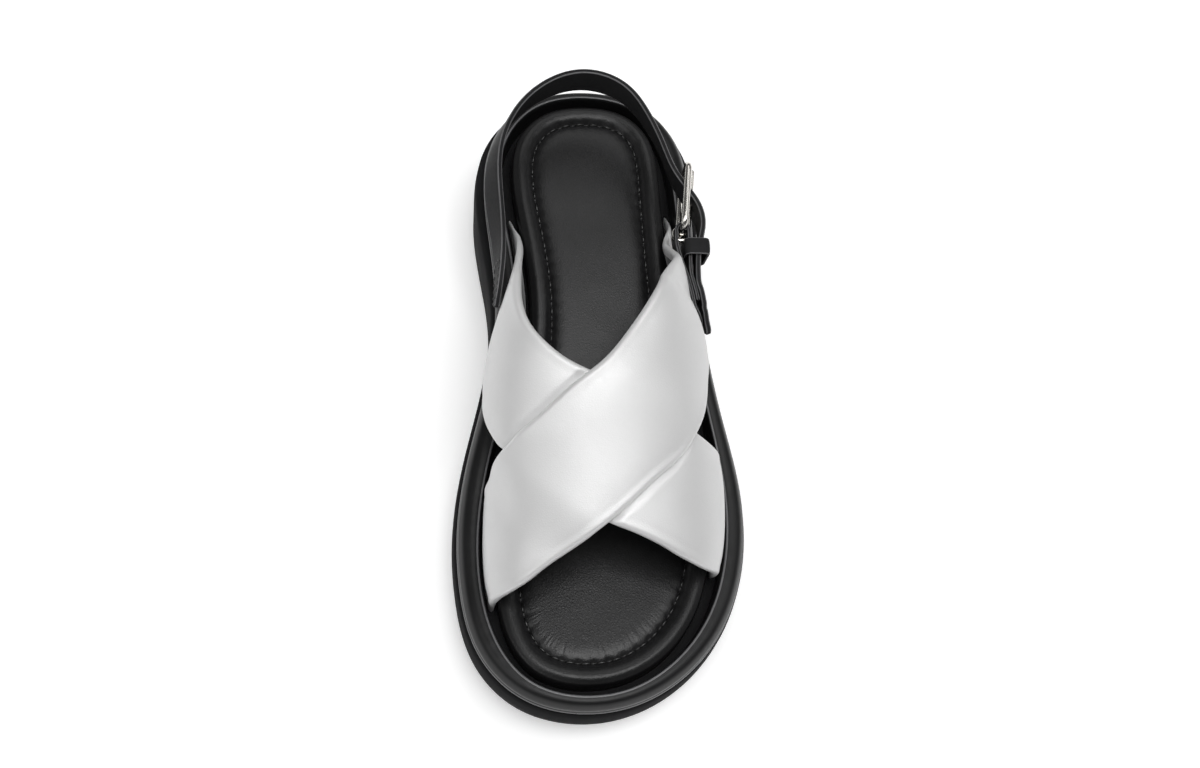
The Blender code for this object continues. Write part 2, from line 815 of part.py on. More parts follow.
def cutting_box(name, middle, axes, sizes, tools):
    """A box along the given axes, used only to cut another piece."""
    place = Matrix.Identity(4)
    for column_index, (axis, size) in enumerate(zip(axes, sizes)):
        for row_index in range(3):
            place[row_index][column_index] = axis[row_index] * size * MM
    for row_index in range(3):
        place[row_index][3] = middle[row_index] * MM
    mesh = bpy.data.meshes.new(name)
    edit = bmesh.new()
    bmesh.ops.create_cube(edit, size=1.0, matrix=place)
    bmesh.ops.recalc_face_normals(edit, faces=edit.faces)
    edit.to_mesh(mesh)
    edit.free()
    box = bpy.data.objects.new(name, mesh)
    tools.objects.link(box)
    box.hide_render = True
    box.display_type = "WIRE"
    return box


def build_tab(group, tools):
    upper_edge, lower_edge = tab_edges()
    widths = np.full(len(upper_edge), TAB_WIDE)
    widths[:len(TAB_NOSE)] *= TAB_NOSE
    rings = strip_rings(upper_edge, lower_edge, TAB_THICK, widths)
    verts, faces = loft(rings, False, False)
    verts, faces = fan_caps(verts, faces, 8, len(rings))
    tab = piece("buckle_tab", verts, faces, group)
    along, up, out = frame_axes()
    slot = PRONG_WIRE + 2.0 * PIECE_GAP + 0.4
    spot = FRAME_BAR + along * 2.0
    cutter = cutting_box("tab_slot", spot, (along, up, out), (SLOT_LONG, slot, SLOT_DEEP), tools)
    boolean(tab, cutter, "DIFFERENCE")
    return tab


def wire(name, path, thick, closed, group):
    """A round wire along a path."""
    data = bpy.data.curves.new(name, "CURVE")
    data.dimensions = "3D"
    data.bevel_depth = thick / 2.0 * MM
    data.bevel_resolution = 2
    data.use_fill_caps = True
    line = data.splines.new("POLY")
    line.points.add(len(path) - 1)
    for point, spot in zip(line.points, path):
        point.co = (spot[0] * MM, spot[1] * MM, spot[2] * MM, 1.0)
    line.use_cyclic_u = closed
    data.materials.append(material(name))
    obj = bpy.data.objects.new(name, data)
    group.objects.link(obj)
    return obj


def rounded_loop(long_half, wide_half, corner, steps):
    points = []
    for sx, sy, start in ((1, 1, 0.0), (-1, 1, 90.0), (-1, -1, 180.0), (1, -1, 270.0)):
        for t in np.radians(np.linspace(start, start + 90.0, steps)):
            x = sx * (long_half - corner) + corner * math.cos(t)
            y = sy * (wide_half - corner) + corner * math.sin(t)
            points.append((x, y))
    return np.array(points)


def build_frame(group):
    along, up, out = frame_axes()
    loop = rounded_loop(FRAME_LONG / 2.0, FRAME_WIDE / 2.0, FRAME_CORNER, 5)
    middle = FRAME_BAR + along * FRAME_LONG / 2.0
    path = [middle + along * x + up * y for x, y in loop]
    return wire("buckle_frame", path, WIRE, True, group)


PRONG_LIFT = WIRE / 2.0 + PIECE_GAP + PRONG_WIRE / 2.0


def build_prong(group):
    along, up, out = frame_axes()
    path = []
    for t in np.radians(np.linspace(-150.0, 90.0, 13)):
        path.append(FRAME_BAR - along * PRONG_LIFT * math.cos(t) + out * PRONG_LIFT * math.sin(t))
    for share in (0.2, 0.4, 0.6, 0.8, 0.93, 1.0):
        path.append(FRAME_BAR + along * (FRAME_LONG + 1.6) * share + out * PRONG_LIFT)
    return wire("buckle_prong", path, PRONG_WIRE, False, group)


def cut_strap(strap, tools):
    along, up, out = frame_axes()
    slot = PRONG_WIRE + 2.0 * PIECE_GAP
    spot = FRAME_BAR + along * (FRAME_LONG * 0.5) + out * PRONG_LIFT
    cutter = cutting_box("prong_hole", spot, (along, up, out), (FRAME_LONG * 0.94, slot, slot), tools)
    boolean(strap, cutter, "DIFFERENCE")


def build_keeper(group):
    strap_top, strap_low = strap_edges()
    tab_top, tab_low = tab_edges()
    reach = KEEPER_WIDE / 2.0 + 0.5
    spots = np.linspace(KEEPER_Y - reach, KEEPER_Y + reach, 9)
    leaf = []
    for edge in (tab_top[-OUTER_STEPS:][::-1], tab_low[-OUTER_STEPS:][::-1]):
        leaf += list(np.interp(spots, edge[:, 1], edge[:, 0]))
    tail = []
    for edge in (strap_top, strap_low):
        outer_side = edge[edge[:, 0] > 0.0][::-1]
        tail += list(np.interp(spots, outer_side[:, 1], outer_side[:, 0]))
    z = side_height(KEEPER_Y)
    slope = (side_height(KEEPER_Y + 4.0) - side_height(KEEPER_Y - 4.0)) / 8.0
    along = np.array([0.0, 1.0, slope]) / math.hypot(1.0, slope)
    out = np.array([1.0, 0.0, 0.0])
    up = np.cross(out, along)
    clear = PIECE_GAP + KEEPER_EASE + KEEPER_THICK / 2.0
    left = min(leaf) - TAB_THICK / 2.0 - clear
    right = max(tail) + STRAP_THICK / 2.0 + clear
    loop = rounded_loop((right - left) / 2.0, STRAP_WIDE / 2.0 + clear + 0.2, KEEPER_CORNER, 4)
    middle = np.array([(left + right) / 2.0, KEEPER_Y, z])
    rings = []
    loop_run = np.roll(loop, -1, 0) - np.roll(loop, 1, 0)
    loop_run /= np.linalg.norm(loop_run, axis=1)[:, None]
    for (x, h), (rx, rh) in zip(loop, loop_run):
        spot = middle + out * x + up * h
        face = out * rh - up * rx
        ring = []
        for a, b in ((1, 1), (1, -1), (-1, -1), (-1, 1)):
            ring.append(spot + along * a * KEEPER_WIDE / 2.0 + face * b * KEEPER_THICK / 2.0)
        rings.append(np.array(ring))
    verts, faces = loft(rings, True, False)
    return piece("keeper_loop", verts, faces, group)


def centre(objects):
    """Move everything so the whole shoe stands at the middle of the floor."""
    spots = np.array([v.co for obj in objects if obj.type == "MESH" for v in obj.data.vertices])
    low = spots.min(0)
    high = spots.max(0)
    for obj in objects:
        obj.location = (-(low[0] + high[0]) / 2.0, -(low[1] + high[1]) / 2.0, -low[2])


def main():
    for obj in list(bpy.data.objects):
        bpy.data.objects.remove(obj)
    group = collection("crossed_band_sandal")
    tools = collection("cutters")
    made = [build_outsole(group), build_rim(group), build_insole(group), build_upper(group, tools)]
    strap = build_strap(group)
    cut_strap(strap, tools)
    made += [strap, build_tab(group, tools), build_frame(group), build_prong(group), build_keeper(group)]
    centre(made + list(tools.objects))


main()
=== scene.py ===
"""Looks of a left sandal: crossed silver bands, black cushioned sole, buckled heel strap.

Sizes are in millimetres and turned to metres when a mesh is made.
+X is the outer side of the foot, +Y runs to the heel, +Z is up.
"""
import math

import bmesh
import bpy
import numpy as np
from mathutils import Matrix, Vector, noise


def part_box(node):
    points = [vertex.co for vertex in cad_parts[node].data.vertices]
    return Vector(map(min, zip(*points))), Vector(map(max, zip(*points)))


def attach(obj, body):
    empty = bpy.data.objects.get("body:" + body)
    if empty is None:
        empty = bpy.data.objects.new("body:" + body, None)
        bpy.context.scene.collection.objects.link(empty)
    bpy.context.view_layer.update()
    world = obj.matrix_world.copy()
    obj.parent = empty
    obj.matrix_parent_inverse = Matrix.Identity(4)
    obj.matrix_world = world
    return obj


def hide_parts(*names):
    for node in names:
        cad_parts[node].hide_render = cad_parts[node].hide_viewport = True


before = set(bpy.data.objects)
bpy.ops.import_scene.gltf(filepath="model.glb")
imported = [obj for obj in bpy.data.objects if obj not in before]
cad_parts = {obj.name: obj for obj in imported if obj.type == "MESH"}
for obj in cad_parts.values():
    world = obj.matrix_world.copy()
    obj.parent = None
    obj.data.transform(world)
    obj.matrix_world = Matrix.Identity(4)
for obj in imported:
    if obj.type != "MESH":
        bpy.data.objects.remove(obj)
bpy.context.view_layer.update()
MM = 0.001
BODY = "root"
UP = np.array([0.0, 0.0, 1.0])

# sole
RING_POINTS = 960
CAD_RING_POINTS = 100
CURVE_STEPS = 40
HIDDEN_STEPS = 4
PIECE_GAP = 0.3
DECK_DROP = 9.0
SOLE_REACH = 0.3
TOE_RISE = 9.0
SPRING_START = -72.0
SPRING_END = -132.0
SPRING_POWER = 1.8
ARCH_RISE = 1.5
ARCH_MIDDLE = 10.0
ARCH_HALF = 35.0

# tread
TREAD_STEPS = 70
TREAD_PITCH = 8.5
TREAD_WIDE = 2.2
TREAD_WALL = 0.8
TREAD_DEEP = 1.3
TREAD_SWAY = 3.0
TREAD_WAVE = 9.0
TREAD_BORDER = 6.0
TREAD_FADE = 2.0
TREAD_FRONT = -116.0
TREAD_REAR = 120.0
TREAD_WAIST = 26.0

# rim, with a bead along its inner edge and a lip along its outer one; faces of both in these spans carry a
# painted highlight
RIM_RISE = 0.8
RIM_STEPS = 80
BEAD_SHARE = 0.96
BEAD_EXTRA = (0.65, 1.35)
LIP_SHARE = 0.03
LIP_HEIGHT = (-7.4, -6.75)
RIPPLE = 0.04
RIPPLE_BUSY = 30.0
RIPPLE_REACH = 6.0

# insole: start, end and count of each run of rings, counted in from its edge
PAD_RUNS = ((0.0, 1.0, 6), (1.5, 8.0, 14), (8.3, 9.3, 6), (9.8, 18.0, 14))
PAD_STEPS = 40
BED_WAVE = 0.1
BED_WAVE_LONG = 14.0
WRINKLE = 0.1
WRINKLE_PITCH = 0.9
WRINKLE_ROW = 0.5
WRINKLE_INWARD = 12.0
WRINKLE_LONG = 2.8
WRINKLE_TOE = -82.0
WRINKLE_FADE = 18.0

# stitches
SEAM_INWARD = 8.6
STITCH_PITCH = 5.8
STITCH_LONG = 3.9
THREAD = 0.95
THREAD_SIDES = 8
THREAD_STEPS = 7
THREAD_TIP = 0.45
THREAD_ARCH = 0.5
THREAD_SINK = 0.2
PUCKER = 0.12
PUCKER_WIDE = 3.0
SEAM_SINK = 0.4 * PUCKER
PIT = 0.42
PIT_WIDE = 1.2
PIT_POWER = 3

# bands
BAND_THICK = 4.2
WING_THICK = 2.8
WING_START = 16.0
WING_FULL = 46.0
BAND_SINK = 8.6
BAND_STATIONS = 190
EDGE_STEPS = (0.0, 0.1, 0.3, 0.6, 1.0, 1.5, 2.1, 2.8, 3.5, 4.2, 5.0, 6.0, 7.5)
FLAT_STEPS = 15
FLAT_SLANT = 1.5
CROSS_LIFT = 3.3
CROSS_EASE = 28.0
PRESS = 1.05
PRESS_EASE = 3.5
EDGE_STRETCH = 2.6
EDGE_ROUND = 1.8
EDGE_SOFT = 6
SKIVE = 0.45
SKIVE_START = 0.68
SKIVE_EASE = 0.2
EDGE_ROLL = 3.6
ROLL_WIDE = 1.2
ROLL_DEEP = 0.09
CROWN = 0.4
CROWN_EASE = 9.0
SOFT_WAVE = 0.07
SOFT_WAVE_LONG = 17.0
SOFT_WAVE_EASE = 6.0
LINING_MARGIN = 3.0
LINING_DROP = 0.35
CREASE_EASE = 5.0
CREASE_POWER = 0.7
CREASE_END = 0.02
RIDGE_SHARE = 0.45
RIDGE_AWAY = 1.7
RIDGE_WIDE = 0.9

# the last's sections
LAST_POWER = 2.15
BELLY_LOW = 2.0
BELLY_FULL = 3.0
BELLY_START = 1.0
BELLY_POWER = 1.6
WALL_STEPS = 60
DOME_STEPS = 240
GRID_Y = np.linspace(-104.0, 82.0, 373)
GRID_HALF = 121
GRID_ROUND = np.linspace(-1.0, 1.0, 2 * GRID_HALF - 1)
ARC_HALF = 78.0
GROOVE_ENDS = (-114.0, 106.0)

# heel strap
STRAP_WIDE = 12.4
STRAP_THICK = 2.0
STRAP_STATIONS = 420
STRAP_CROWD = 0.9
TIP_LENGTH = 11.0
TIP_BLUNT = 0.2
INNER_END = 62.0
TAIL_END = 44.0
TAIL_ROW = 12
PUNCHED_Y = (35.0, 28.0)
PUNCH = 1.7
PUNCH_SIDES = 20
PUNCH_DEEP = 3.0 * STRAP_THICK
END_SEAM_IN = 1.8
END_SEAM_LONG = 17.0
END_PITCH = 2.9
END_STITCH = 2.1
END_THREAD = 0.6

# tab, and the sections of all strips
TAB_THICK = 1.4
TAB_WIDE = 11.0
TAB_STATIONS = 180
TAB_NOSE = 5.5
TAB_BLUNT = 0.45
TAB_FRONT = 14.0
TAB_LEAD = 2.0
TAB_END = 23.0
TAB_SLOT = (11.0, 3.0, 14.0)
TAB_SLOT_PAST = 2.0
WALL_BOW = 0.5
LEAF_PART = 37.0
LEAF_SLACK = 0.05
LEAF_STEP = TAB_THICK + PIECE_GAP + LEAF_SLACK
LEAF_STEPS = 60
FOLD_RADIUS = 2.5
FOLD_Y = 50.0
FOLD_STEPS = 41
FOLD_IN = 6.0
FOLD_OUT = 3.0
STRIP_SOFT = 4
STRIP_CORNER = 0.42
STRIP_LEAST = 0.05
STRIP_DOME = 0.1
STRIP_TURNS = (85.0, 60.0, 30.0)
CORNER_STEPS = 5
FACE_STEPS = 7
SHARP_ANGLE = 50.0

# keeper
KEEPER_WIDE = 6.6
KEEPER_THICK = 1.0
KEEPER_EASE = 0.35
KEEPER_CORNER = 1.9
KEEPER_STEPS = 9
KEEPER_EDGE = 0.3
KEEPER_DOME = 0.3
KEEPER_Y = 43.0

# buckle
FRAME_LONG = 27.0
FRAME_WIDE = 19.0
FRAME_CORNER = 3.2
FRAME_STEPS = 10
FRAME_TILT = 7.0
FRAME_SWING = 6.5
WIRE = 2.8
WIRE_SIDES = 20
WIRE_TURNS = (88.0, 65.0, 45.0, 22.0)
PRONG_WIRE = 2.0
PRONG_CURL = -150.0
PRONG_PAST = 0.7
PRONG_TURN_STEPS = 37
PRONG_STEPS = 12
PRONG_SLOT = 0.94 * FRAME_LONG

# a box's four corners, each with its two signs and the angle that it starts at
CORNERS = ((1, 1, 0.0), (-1, 1, 90.0), (-1, -1, 180.0), (1, -1, 270.0))

# leathers: dark and light tone, blue's share, metallic, roughness, gloss, pebbles to the metre, their depth
LEATHERS = {
    "silver_leather": (0.66, 0.69, 1.0, 0.41, 0.5, 0.4, 1300.0, 0.0001),
    "insole_leather": (0.008, 0.013, 1.04, 0.0, 0.33, 0.36, 1000.0, 0.00016),
    "rim_leather": (0.008, 0.012, 1.04, 0.0, 0.34, 0.24, 1400.0, 0.00002),
    "strap_leather": (0.017, 0.022, 1.04, 0.0, 0.5, 0.04, 1500.0, 0.00006),
    # painted highlight: a lighter tone on the strips' corners and on the rim's bead and lip, standing in
    # for the highlight lines along them
    "painted_edge_highlight": (0.08, 0.105, 1.04, 0.0, 0.3, 0.5, 1500.0, 0.00001),
}
RUBBER_TONE = (0.016, 0.016, 0.0167)
LINING_TONE = (0.012, 0.012, 0.013)
THREAD_TONE = (0.004, 0.004, 0.0042)
NICKEL_TONE = (0.74, 0.72, 0.68)
FLOOR_TONE = (0.9, 0.9, 0.9)
FLOOR_DARK = (0.885, 0.885, 0.885)
FLOOR_LIGHT = (0.91, 0.91, 0.91)
WHITE = (1.0, 1.0, 1.0, 1.0)

# spans of the noise that tones and roughness follow
CLOUD_SPAN = (0.3, 0.7)
FINE_SPAN = (0.25, 0.75)

# stage in metres; a glow is where it starts and ends, and its strength there
# the floor's goes by the distance, and the sky's by the height
FLOOR_HALF = 60.0
FLOOR_GLOW = (0.4, 2.0, 0.33, 0.62)
SKY_GLOW = (0.02, 0.3, 0.7, 0.1)
LIGHT_AIM = (0.0, 0.0, 0.03)

# lights: x, y and z in metres, size, power in watts
LIGHTS = {
    "top": (0.14, -0.22, 1.70, 1.2, 17.0),
    "left": (-0.95, -0.45, 1.30, 1.2, 5.2),
    "right": (0.95, 0.15, 1.30, 1.2, 4.2),
    "back": (0.10, 1.00, 1.30, 1.0, 3.0),
}

# camera: where the photo was taken from, and the turn in pixels from its aim to this shoe
CAMERA_SPOT = (-62.5, -240.1, 538.5)
CAMERA_PITCH = 23.0
AIM = (114.0, -38.0)
PHOTO_FOCUS = 1000.0
PHOTO_WIDE = 1200.0
SENSOR = 36.0
ZOOM = 1.42


def table(names, *rows):
    """A short table as one array for each named column."""
    return dict(zip(names.split(), np.array(rows, float).T))


# rim line of the sole seen from above, starting at the toe and going up the inner side
# inset: rim line to insole edge, groove: slot the bands stand in, flare: sole beyond the rim line
PLAN = table(
    "x y inset groove flare",
    (-9, -130.4, 8.4, 3, 1.5),
    (-33, -123.5, 9, 3, 1.5),
    (-47.5, -107, 11.2, 3.6, 1.5),
    (-53.9, -83, 13, 5, 1.7),
    (-54.8, -60, 13.5, 5, 1.9),
    (-50.4, -30, 13.9, 5, 2.1),
    (-43, 0, 14, 5, 2.2),
    (-39.4, 30, 13.4, 5, 2.4),
    (-41.6, 60, 12.4, 5, 3.6),
    (-43.6, 84, 11.2, 4.6, 4),
    (-38.5, 111, 10, 3.2, 3),
    (-23.5, 126.6, 9, 3, 2),
    (-1, 131.9, 8.7, 3, 1.5),
    (22, 126.4, 9.2, 3, 2),
    (36.6, 110.6, 11.2, 3.2, 3),
    (42, 84, 13, 4.6, 3.4),
    (42.4, 55, 12.6, 5, 2.7),
    (44.6, 20, 12.1, 5, 2),
    (50, -15, 12.2, 5, 1.7),
    (55.2, -45, 13.2, 5, 1.7),
    (53.2, -76, 13.2, 5, 1.5),
    (42.8, -101.3, 11.2, 3.8, 1),
    (26.2, -119, 9.4, 3, 1),
    (9.2, -127.8, 8.6, 3, 1.2),
)

# height of the insole's middle along the foot
BED = table(
    "y height",
    (-134, 32.4), (-105, 30.2), (-75, 29), (-45, 29.6), (-15, 32.6), (15, 36.6), (45, 40.4),
    (75, 42.6), (105, 43.6), (136, 44),
)

# side of the outsole: how far out from the rim line plus flare, and the height
# rows with from_deck 1 count from the deck, the others from the tread
SOLE = table(
    "out from_deck height",
    (-4.6, 0, 0), (-3.4, 0, 0), (-2.2, 0, 0.25), (-1.2, 0, 0.9), (-0.55, 0, 1.9), (-0.2, 0, 3.6),
    (0.1, 0, 6.5), (0.3, 1, -9), (0.25, 1, -6), (0, 1, -3.6), (-0.2, 1, -1.7), (-0.5, 1, -0.7),
    (-0.95, 1, -0.15), (-1.5, 1, 0), (-2.6, 1, 0),
)

# rim section: share of the rim's width in from the rim line, extra out, height from the crest
RIM = table(
    "share extra height",
    (1, 0, -9.4), (1, 0, -5.6), (1, 0.1, -2.6), (1, 0.25, -0.8), (1, 0.5, 0), (1, 1, 0.3),
    (1, 1.6, 0.1), (0.62, 0, 0), (0.44, 0, -0.3), (0.26, 0, -1.1), (0.1, 0, -2.9), (0, 0, -5.2),
    (0, 0, -6.5), (0, 0.25, -7), (0, 0.45, -7.4), (0, 0.2, -7.9), (0, -0.7, -8.3), (0, -1.4, -9.4),
)

# insole section: distance in from its edge, and height from the bed
PAD = table(
    "inward height",
    (0, -2.4), (0.25, -1), (0.9, 0.2), (2.2, 1.15), (3.8, 1.5), (5.4, 1.2), (7, 0.25), (8.2, -1),
    (8.6, -1.25), (9.1, -1), (10.4, -0.35), (12, 0), (14, 0.2), (16, 0.25), (18, 0.25),
)

# the last: height over the bed, ridge line, and how far each side bellies out
LAST = table(
    "y top ridge inner_belly outer_belly belly_height",
    (-105, 23, -6, 0, 0, 12),
    (-73, 31, -6, 0, 0, 13),
    (-45, 40, -7, 1.5, 0, 15),
    (-20, 48, -8, 8, 0.8, 18),
    (0, 53, -8, 10.4, 1.8, 18),
    (15, 56, -7.3, 8.6, 0.8, 17),
    (30, 58.5, -6, 4.8, -2.8, 19),
    (45, 60, -5, 1.4, -5.4, 18),
    (60, 61, -4, -1, -4.5, 17),
    (84, 62, -3, -1, -2, 16),
)

# bands on the last: round is -1 at the inner groove, 0 at the ridge, 1 at the outer groove
OVER_BAND = table(
    "round front rear",
    (-1, -91, -49), (-0.75, -92, -48), (-0.61, -91.5, -46.5), (-0.46, -89.5, -41.5),
    (-0.27, -83.5, -34.5), (-0.08, -77, -23.5), (0.05, -70.5, -15.5), (0.19, -61, -0.5),
    (0.28, -54, 11.5), (0.39, -46, 24), (0.53, -27, 35.5), (0.66, -6, 45), (0.8, 5, 57.5),
    (1, 12, 75),
)
UNDER_BAND = table(
    "round front rear",
    (-1, -2, 72), (-0.79, -10, 53.5), (-0.68, -18, 45), (-0.58, -30, 36), (-0.46, -42.5, 24.5),
    (-0.37, -48.5, 13), (-0.25, -54.5, -3), (-0.1, -63, -15), (0.07, -70.5, -21.5),
    (0.19, -73.5, -26.5), (0.32, -77, -31), (0.47, -81, -34.5), (0.64, -83, -36.5), (0.8, -82, -36),
    (1, -79, -33),
)

# soft creases in the bands, from one end to the other; arc is measured round the last from its ridge
OVER_CREASES = table(
    "y arc end_y end_arc wide deep",
    (-52, -36, -84, -48, 6, 0.18),
    (26, 40, -6, 26, 7, 0.14),
    (18, 58, 44, 50, 5, 0.2),
)
UNDER_CREASES = table(
    "y arc end_y end_arc wide deep",
    (42, -47, -4, -43, 5.5, 0.6),
    (20, -38, -10, -25, 5, 0.18),
    (-42, 34, -66, 18, 5, 0.15),
)

# heel strap's middle line from its inner end round the heel to its tail, and how far its top leans in
STRAP = table(
    "x y z lean",
    (-40.4, 19, 57.5, 1),
    (-39.5, 28, 59.5, 1.5),
    (-39.2, 42, 62, 3),
    (-40.3, 56, 63.5, 4.5),
    (-41.3, 70, 65, 5),
    (-40, 84, 66.8, 4.2),
    (-34, 98, 68.8, 2.8),
    (-22, 110.5, 70, 1.2),
    (-4, 117, 70.4, 0.3),
    (12, 111.5, 69.8, 0.6),
    (21.5, 98.5, 68.5, 1.5),
    (27, 86, 66.8, 2),
    (31, 75, 64.8, 1.5),
    (35.6, 67, 63.4, 0.6),
    (39.6, 60, 62.4, 0.2),
    (41, 52, 61.4, 0.2),
    (39.4, 43, 59.8, 0.6),
    (38.6, 32, 57.3, 1),
    (39, 22, 54.8, 1),
    (39.6, 11, 52, 1),
)


def ease(share):
    share = np.clip(share, 0.0, 1.0)
    return share * share * (3.0 - 2.0 * share)


def bell(share):
    return np.exp(-share ** 2)


def between(values, limits):
    return (values > limits[0]) & (values < limits[1])


def unit(vectors):
    return vectors / np.linalg.norm(vectors, axis=-1, keepdims=True)


def points(rows, names):
    """Columns of a table side by side."""
    return np.column_stack([rows[name] for name in names])


def length_along(line):
    """Length of a line from its start to each of its points."""
    steps = np.linalg.norm(np.diff(line, axis=0), axis=1)
    return np.concatenate([[0.0], np.cumsum(steps)])


def resample(line, along, want):
    """Spots of a line at the wanted lengths along it."""
    return np.stack([np.interp(want, along, values) for values in line.T], 1)


def spline_bend(step, spots, inside):
    """How a cubic bends at the spots inside it; at the others it doesn't bend."""
    count = len(spots)
    gap = np.ravel(step)
    left = np.eye(count)
    right = np.zeros(spots.shape)
    for i in inside:
        k = (i + 1) % count
        left[i, i] = 2.0 * (gap[i - 1] + gap[i])
        left[i, i - 1] = gap[i - 1]
        left[i, k] = gap[i]
        right[i] = 6.0 * ((spots[k] - spots[i]) / gap[i] - (spots[i] - spots[i - 1]) / gap[i - 1])
    return np.linalg.solve(left, right)


def spline_at(step, spots, bend, i, k, t):
    """The cubic between spots i and k, at the share t of the way."""
    u = 1.0 - t
    part = (u ** 3 - u) * bend[i] + (t ** 3 - t) * bend[k]
    return u * spots[i] + t * spots[k] + part * step[i] ** 2 / 6.0


def curve(xs, ys, x):
    """Natural cubic through a short table."""
    step = np.diff(xs)
    bend = spline_bend(step, ys, range(1, len(xs) - 1))
    x = np.clip(np.asarray(x, float), xs[0], xs[-1])
    i = np.clip(np.searchsorted(xs, x) - 1, 0, len(xs) - 2)
    return spline_at(step, ys, bend, i, i + 1, (x - xs[i]) / step[i])


def closed_curve(rows, count):
    """Smooth closed curve through a table, evenly spaced by its length in the first two columns."""
    spots = points(rows, rows)
    size = len(spots)
    step = np.linalg.norm((np.roll(spots, -1, 0) - spots)[:, :2], axis=1, keepdims=True)
    bend = spline_bend(step, spots, range(size))
    here = np.repeat(np.arange(size), CURVE_STEPS)
    share = np.tile(np.linspace(0.0, 1.0, CURVE_STEPS, endpoint=False), size)[:, None]
    fine = spline_at(step, spots, bend, here, (here + 1) % size, share)
    fine = np.vstack([fine, fine[:1]])
    along = length_along(fine[:, :2])
    want = np.linspace(0.0, along[-1], count, endpoint=False)
    return dict(zip(rows, resample(fine, along, want).T))


def steady(xs, ys, x):
    """Cubic through a table that never swings past its rows."""
    step = np.diff(xs)
    slope = np.diff(ys) / step
    both = slope[:-1] * slope[1:]
    lean = np.where(both > 0.0, 2.0 * both / (slope[:-1] + slope[1:]), 0.0)
    lean = np.concatenate([slope[:1], lean, slope[-1:]])
    i = np.clip(np.searchsorted(xs, x) - 1, 0, len(xs) - 2)
    t = (x - xs[i]) / step[i]
    first = (2.0 * t ** 3 - 3.0 * t ** 2 + 1.0) * ys[i] + (t ** 3 - 2.0 * t ** 2 + t) * step[i] * lean[i]
    second = (3.0 * t ** 2 - 2.0 * t ** 3) * ys[i + 1] + (t ** 3 - t ** 2) * step[i] * lean[i + 1]
    return first + second


def softened(values, reach):
    """A line of values with its small kinks smoothed away, ends kept."""
    kernel = np.hanning(2 * reach + 1)
    kernel /= kernel.sum()
    start = 2.0 * values[0] - values[reach:0:-1]
    end = 2.0 * values[-1] - values[-2:-reach - 2:-1]
    return np.convolve(np.concatenate([start, values, end]), kernel, mode="valid")


def circle(count, a, b, start=0.0):
    """Points round a circle that two directions span, from a share of a step on."""
    angles = (np.arange(count) + start) * math.tau / count
    return np.outer(np.cos(angles), a) + np.outer(np.sin(angles), b)


def rounded(long, wide, corner, steps):
    """A box of half sizes with round corners as a closed line, and the way out of it at each point."""
    line = []
    ways = []
    for sa, sb, start in CORNERS:
        for angle in np.radians(np.linspace(start, start + 90.0, steps)):
            ways.append((math.cos(angle), math.sin(angle)))
            line.append((sa * (long - corner), sb * (wide - corner)))
    return np.array(line) + np.array(ways) * corner, np.array(ways)


def outward(plan):
    """Level directions out of a line that runs clockwise, as the plan does."""
    run = unit(np.roll(plan, -1, 0) - np.roll(plan, 1, 0))
    return np.stack([-run[:, 1], run[:, 0]], 1)


def bed_height(y):
    return curve(BED["y"], BED["height"], y)


def deck_height(y):
    return bed_height(y) - DECK_DROP


def pad_height(inward):
    return curve(PAD["inward"], PAD["height"], inward)


def ground_height(y):
    """Flat under the heel and the forefoot, lifted at the toe and a little at the waist."""
    spring = np.maximum((SPRING_START - y) / (SPRING_START - SPRING_END), 0.0)
    arch = ease(1.0 - np.abs(y - ARCH_MIDDLE) / ARCH_HALF)
    return TOE_RISE * spring ** SPRING_POWER + ARCH_RISE * arch


OUTLINE = closed_curve(PLAN, RING_POINTS)
RIM_LINE = points(OUTLINE, "xy")
RIM_SIDE = outward(RIM_LINE)
INSET = OUTLINE["inset"]
RIM_WIDE = INSET - OUTLINE["groove"]
PERIMETER = length_along(np.vstack([RIM_LINE, RIM_LINE[:1]]))[-1]


def frame_shift():
    """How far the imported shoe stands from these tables' own zero, read from the outsole's box."""
    coarse = closed_curve(PLAN, CAD_RING_POINTS)
    line = points(coarse, "xy")
    edge = line + outward(line) * (coarse["flare"] + SOLE_REACH)[:, None]
    low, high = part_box("outsole")
    x, y = (np.array((low + high)[:2]) / MM - edge.min(0) - edge.max(0)) / 2.0
    return np.array([x, y, 0.0])


SHIFT = frame_shift()


def plan_ring(out, height):
    """A ring the given distance out from the rim line, at a height that follows the foot."""
    flat = RIM_LINE + RIM_SIDE * out[:, None]
    return np.column_stack([flat, height(flat[:, 1])])


def make_mesh(name, shape, materials=(), face_slots=None):
    """A smooth mesh with its faces turned out, from a shape's points in millimetres and its faces."""
    mesh = bpy.data.meshes.new(name)
    verts = (np.reshape(shape[0], (-1, 3)) + SHIFT) * MM
    mesh.from_pydata([tuple(v) for v in verts], [], shape[1])
    for mat in materials:
        mesh.materials.append(mat)
    if face_slots is not None:
        mesh.polygons.foreach_set("material_index", np.asarray(face_slots, np.int32))
    edit = bmesh.new()
    edit.from_mesh(mesh)
    bmesh.ops.recalc_face_normals(edit, faces=edit.faces)
    edit.to_mesh(mesh)
    edit.free()
    mesh.shade_smooth()
    return mesh


def add_object(name, data):
    obj = bpy.data.objects.new(name, data)
    bpy.context.scene.collection.objects.link(obj)
    return obj


def make_piece(name, shape, materials, face_slots=None):
    """A mesh that rides with the shoe."""
    obj = add_object(name, make_mesh(name, shape, materials, face_slots))
    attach(obj, BODY)
    return obj


def ring_faces(ring_count, count, closed):
    faces = []
    for r in range(ring_count if closed else ring_count - 1):
        here = r * count
        there = (r + 1) % ring_count * count
        for i in range(count):
            k = (i + 1) % count
            faces.append([here + i, here + k, there + k, there + i])
    return faces


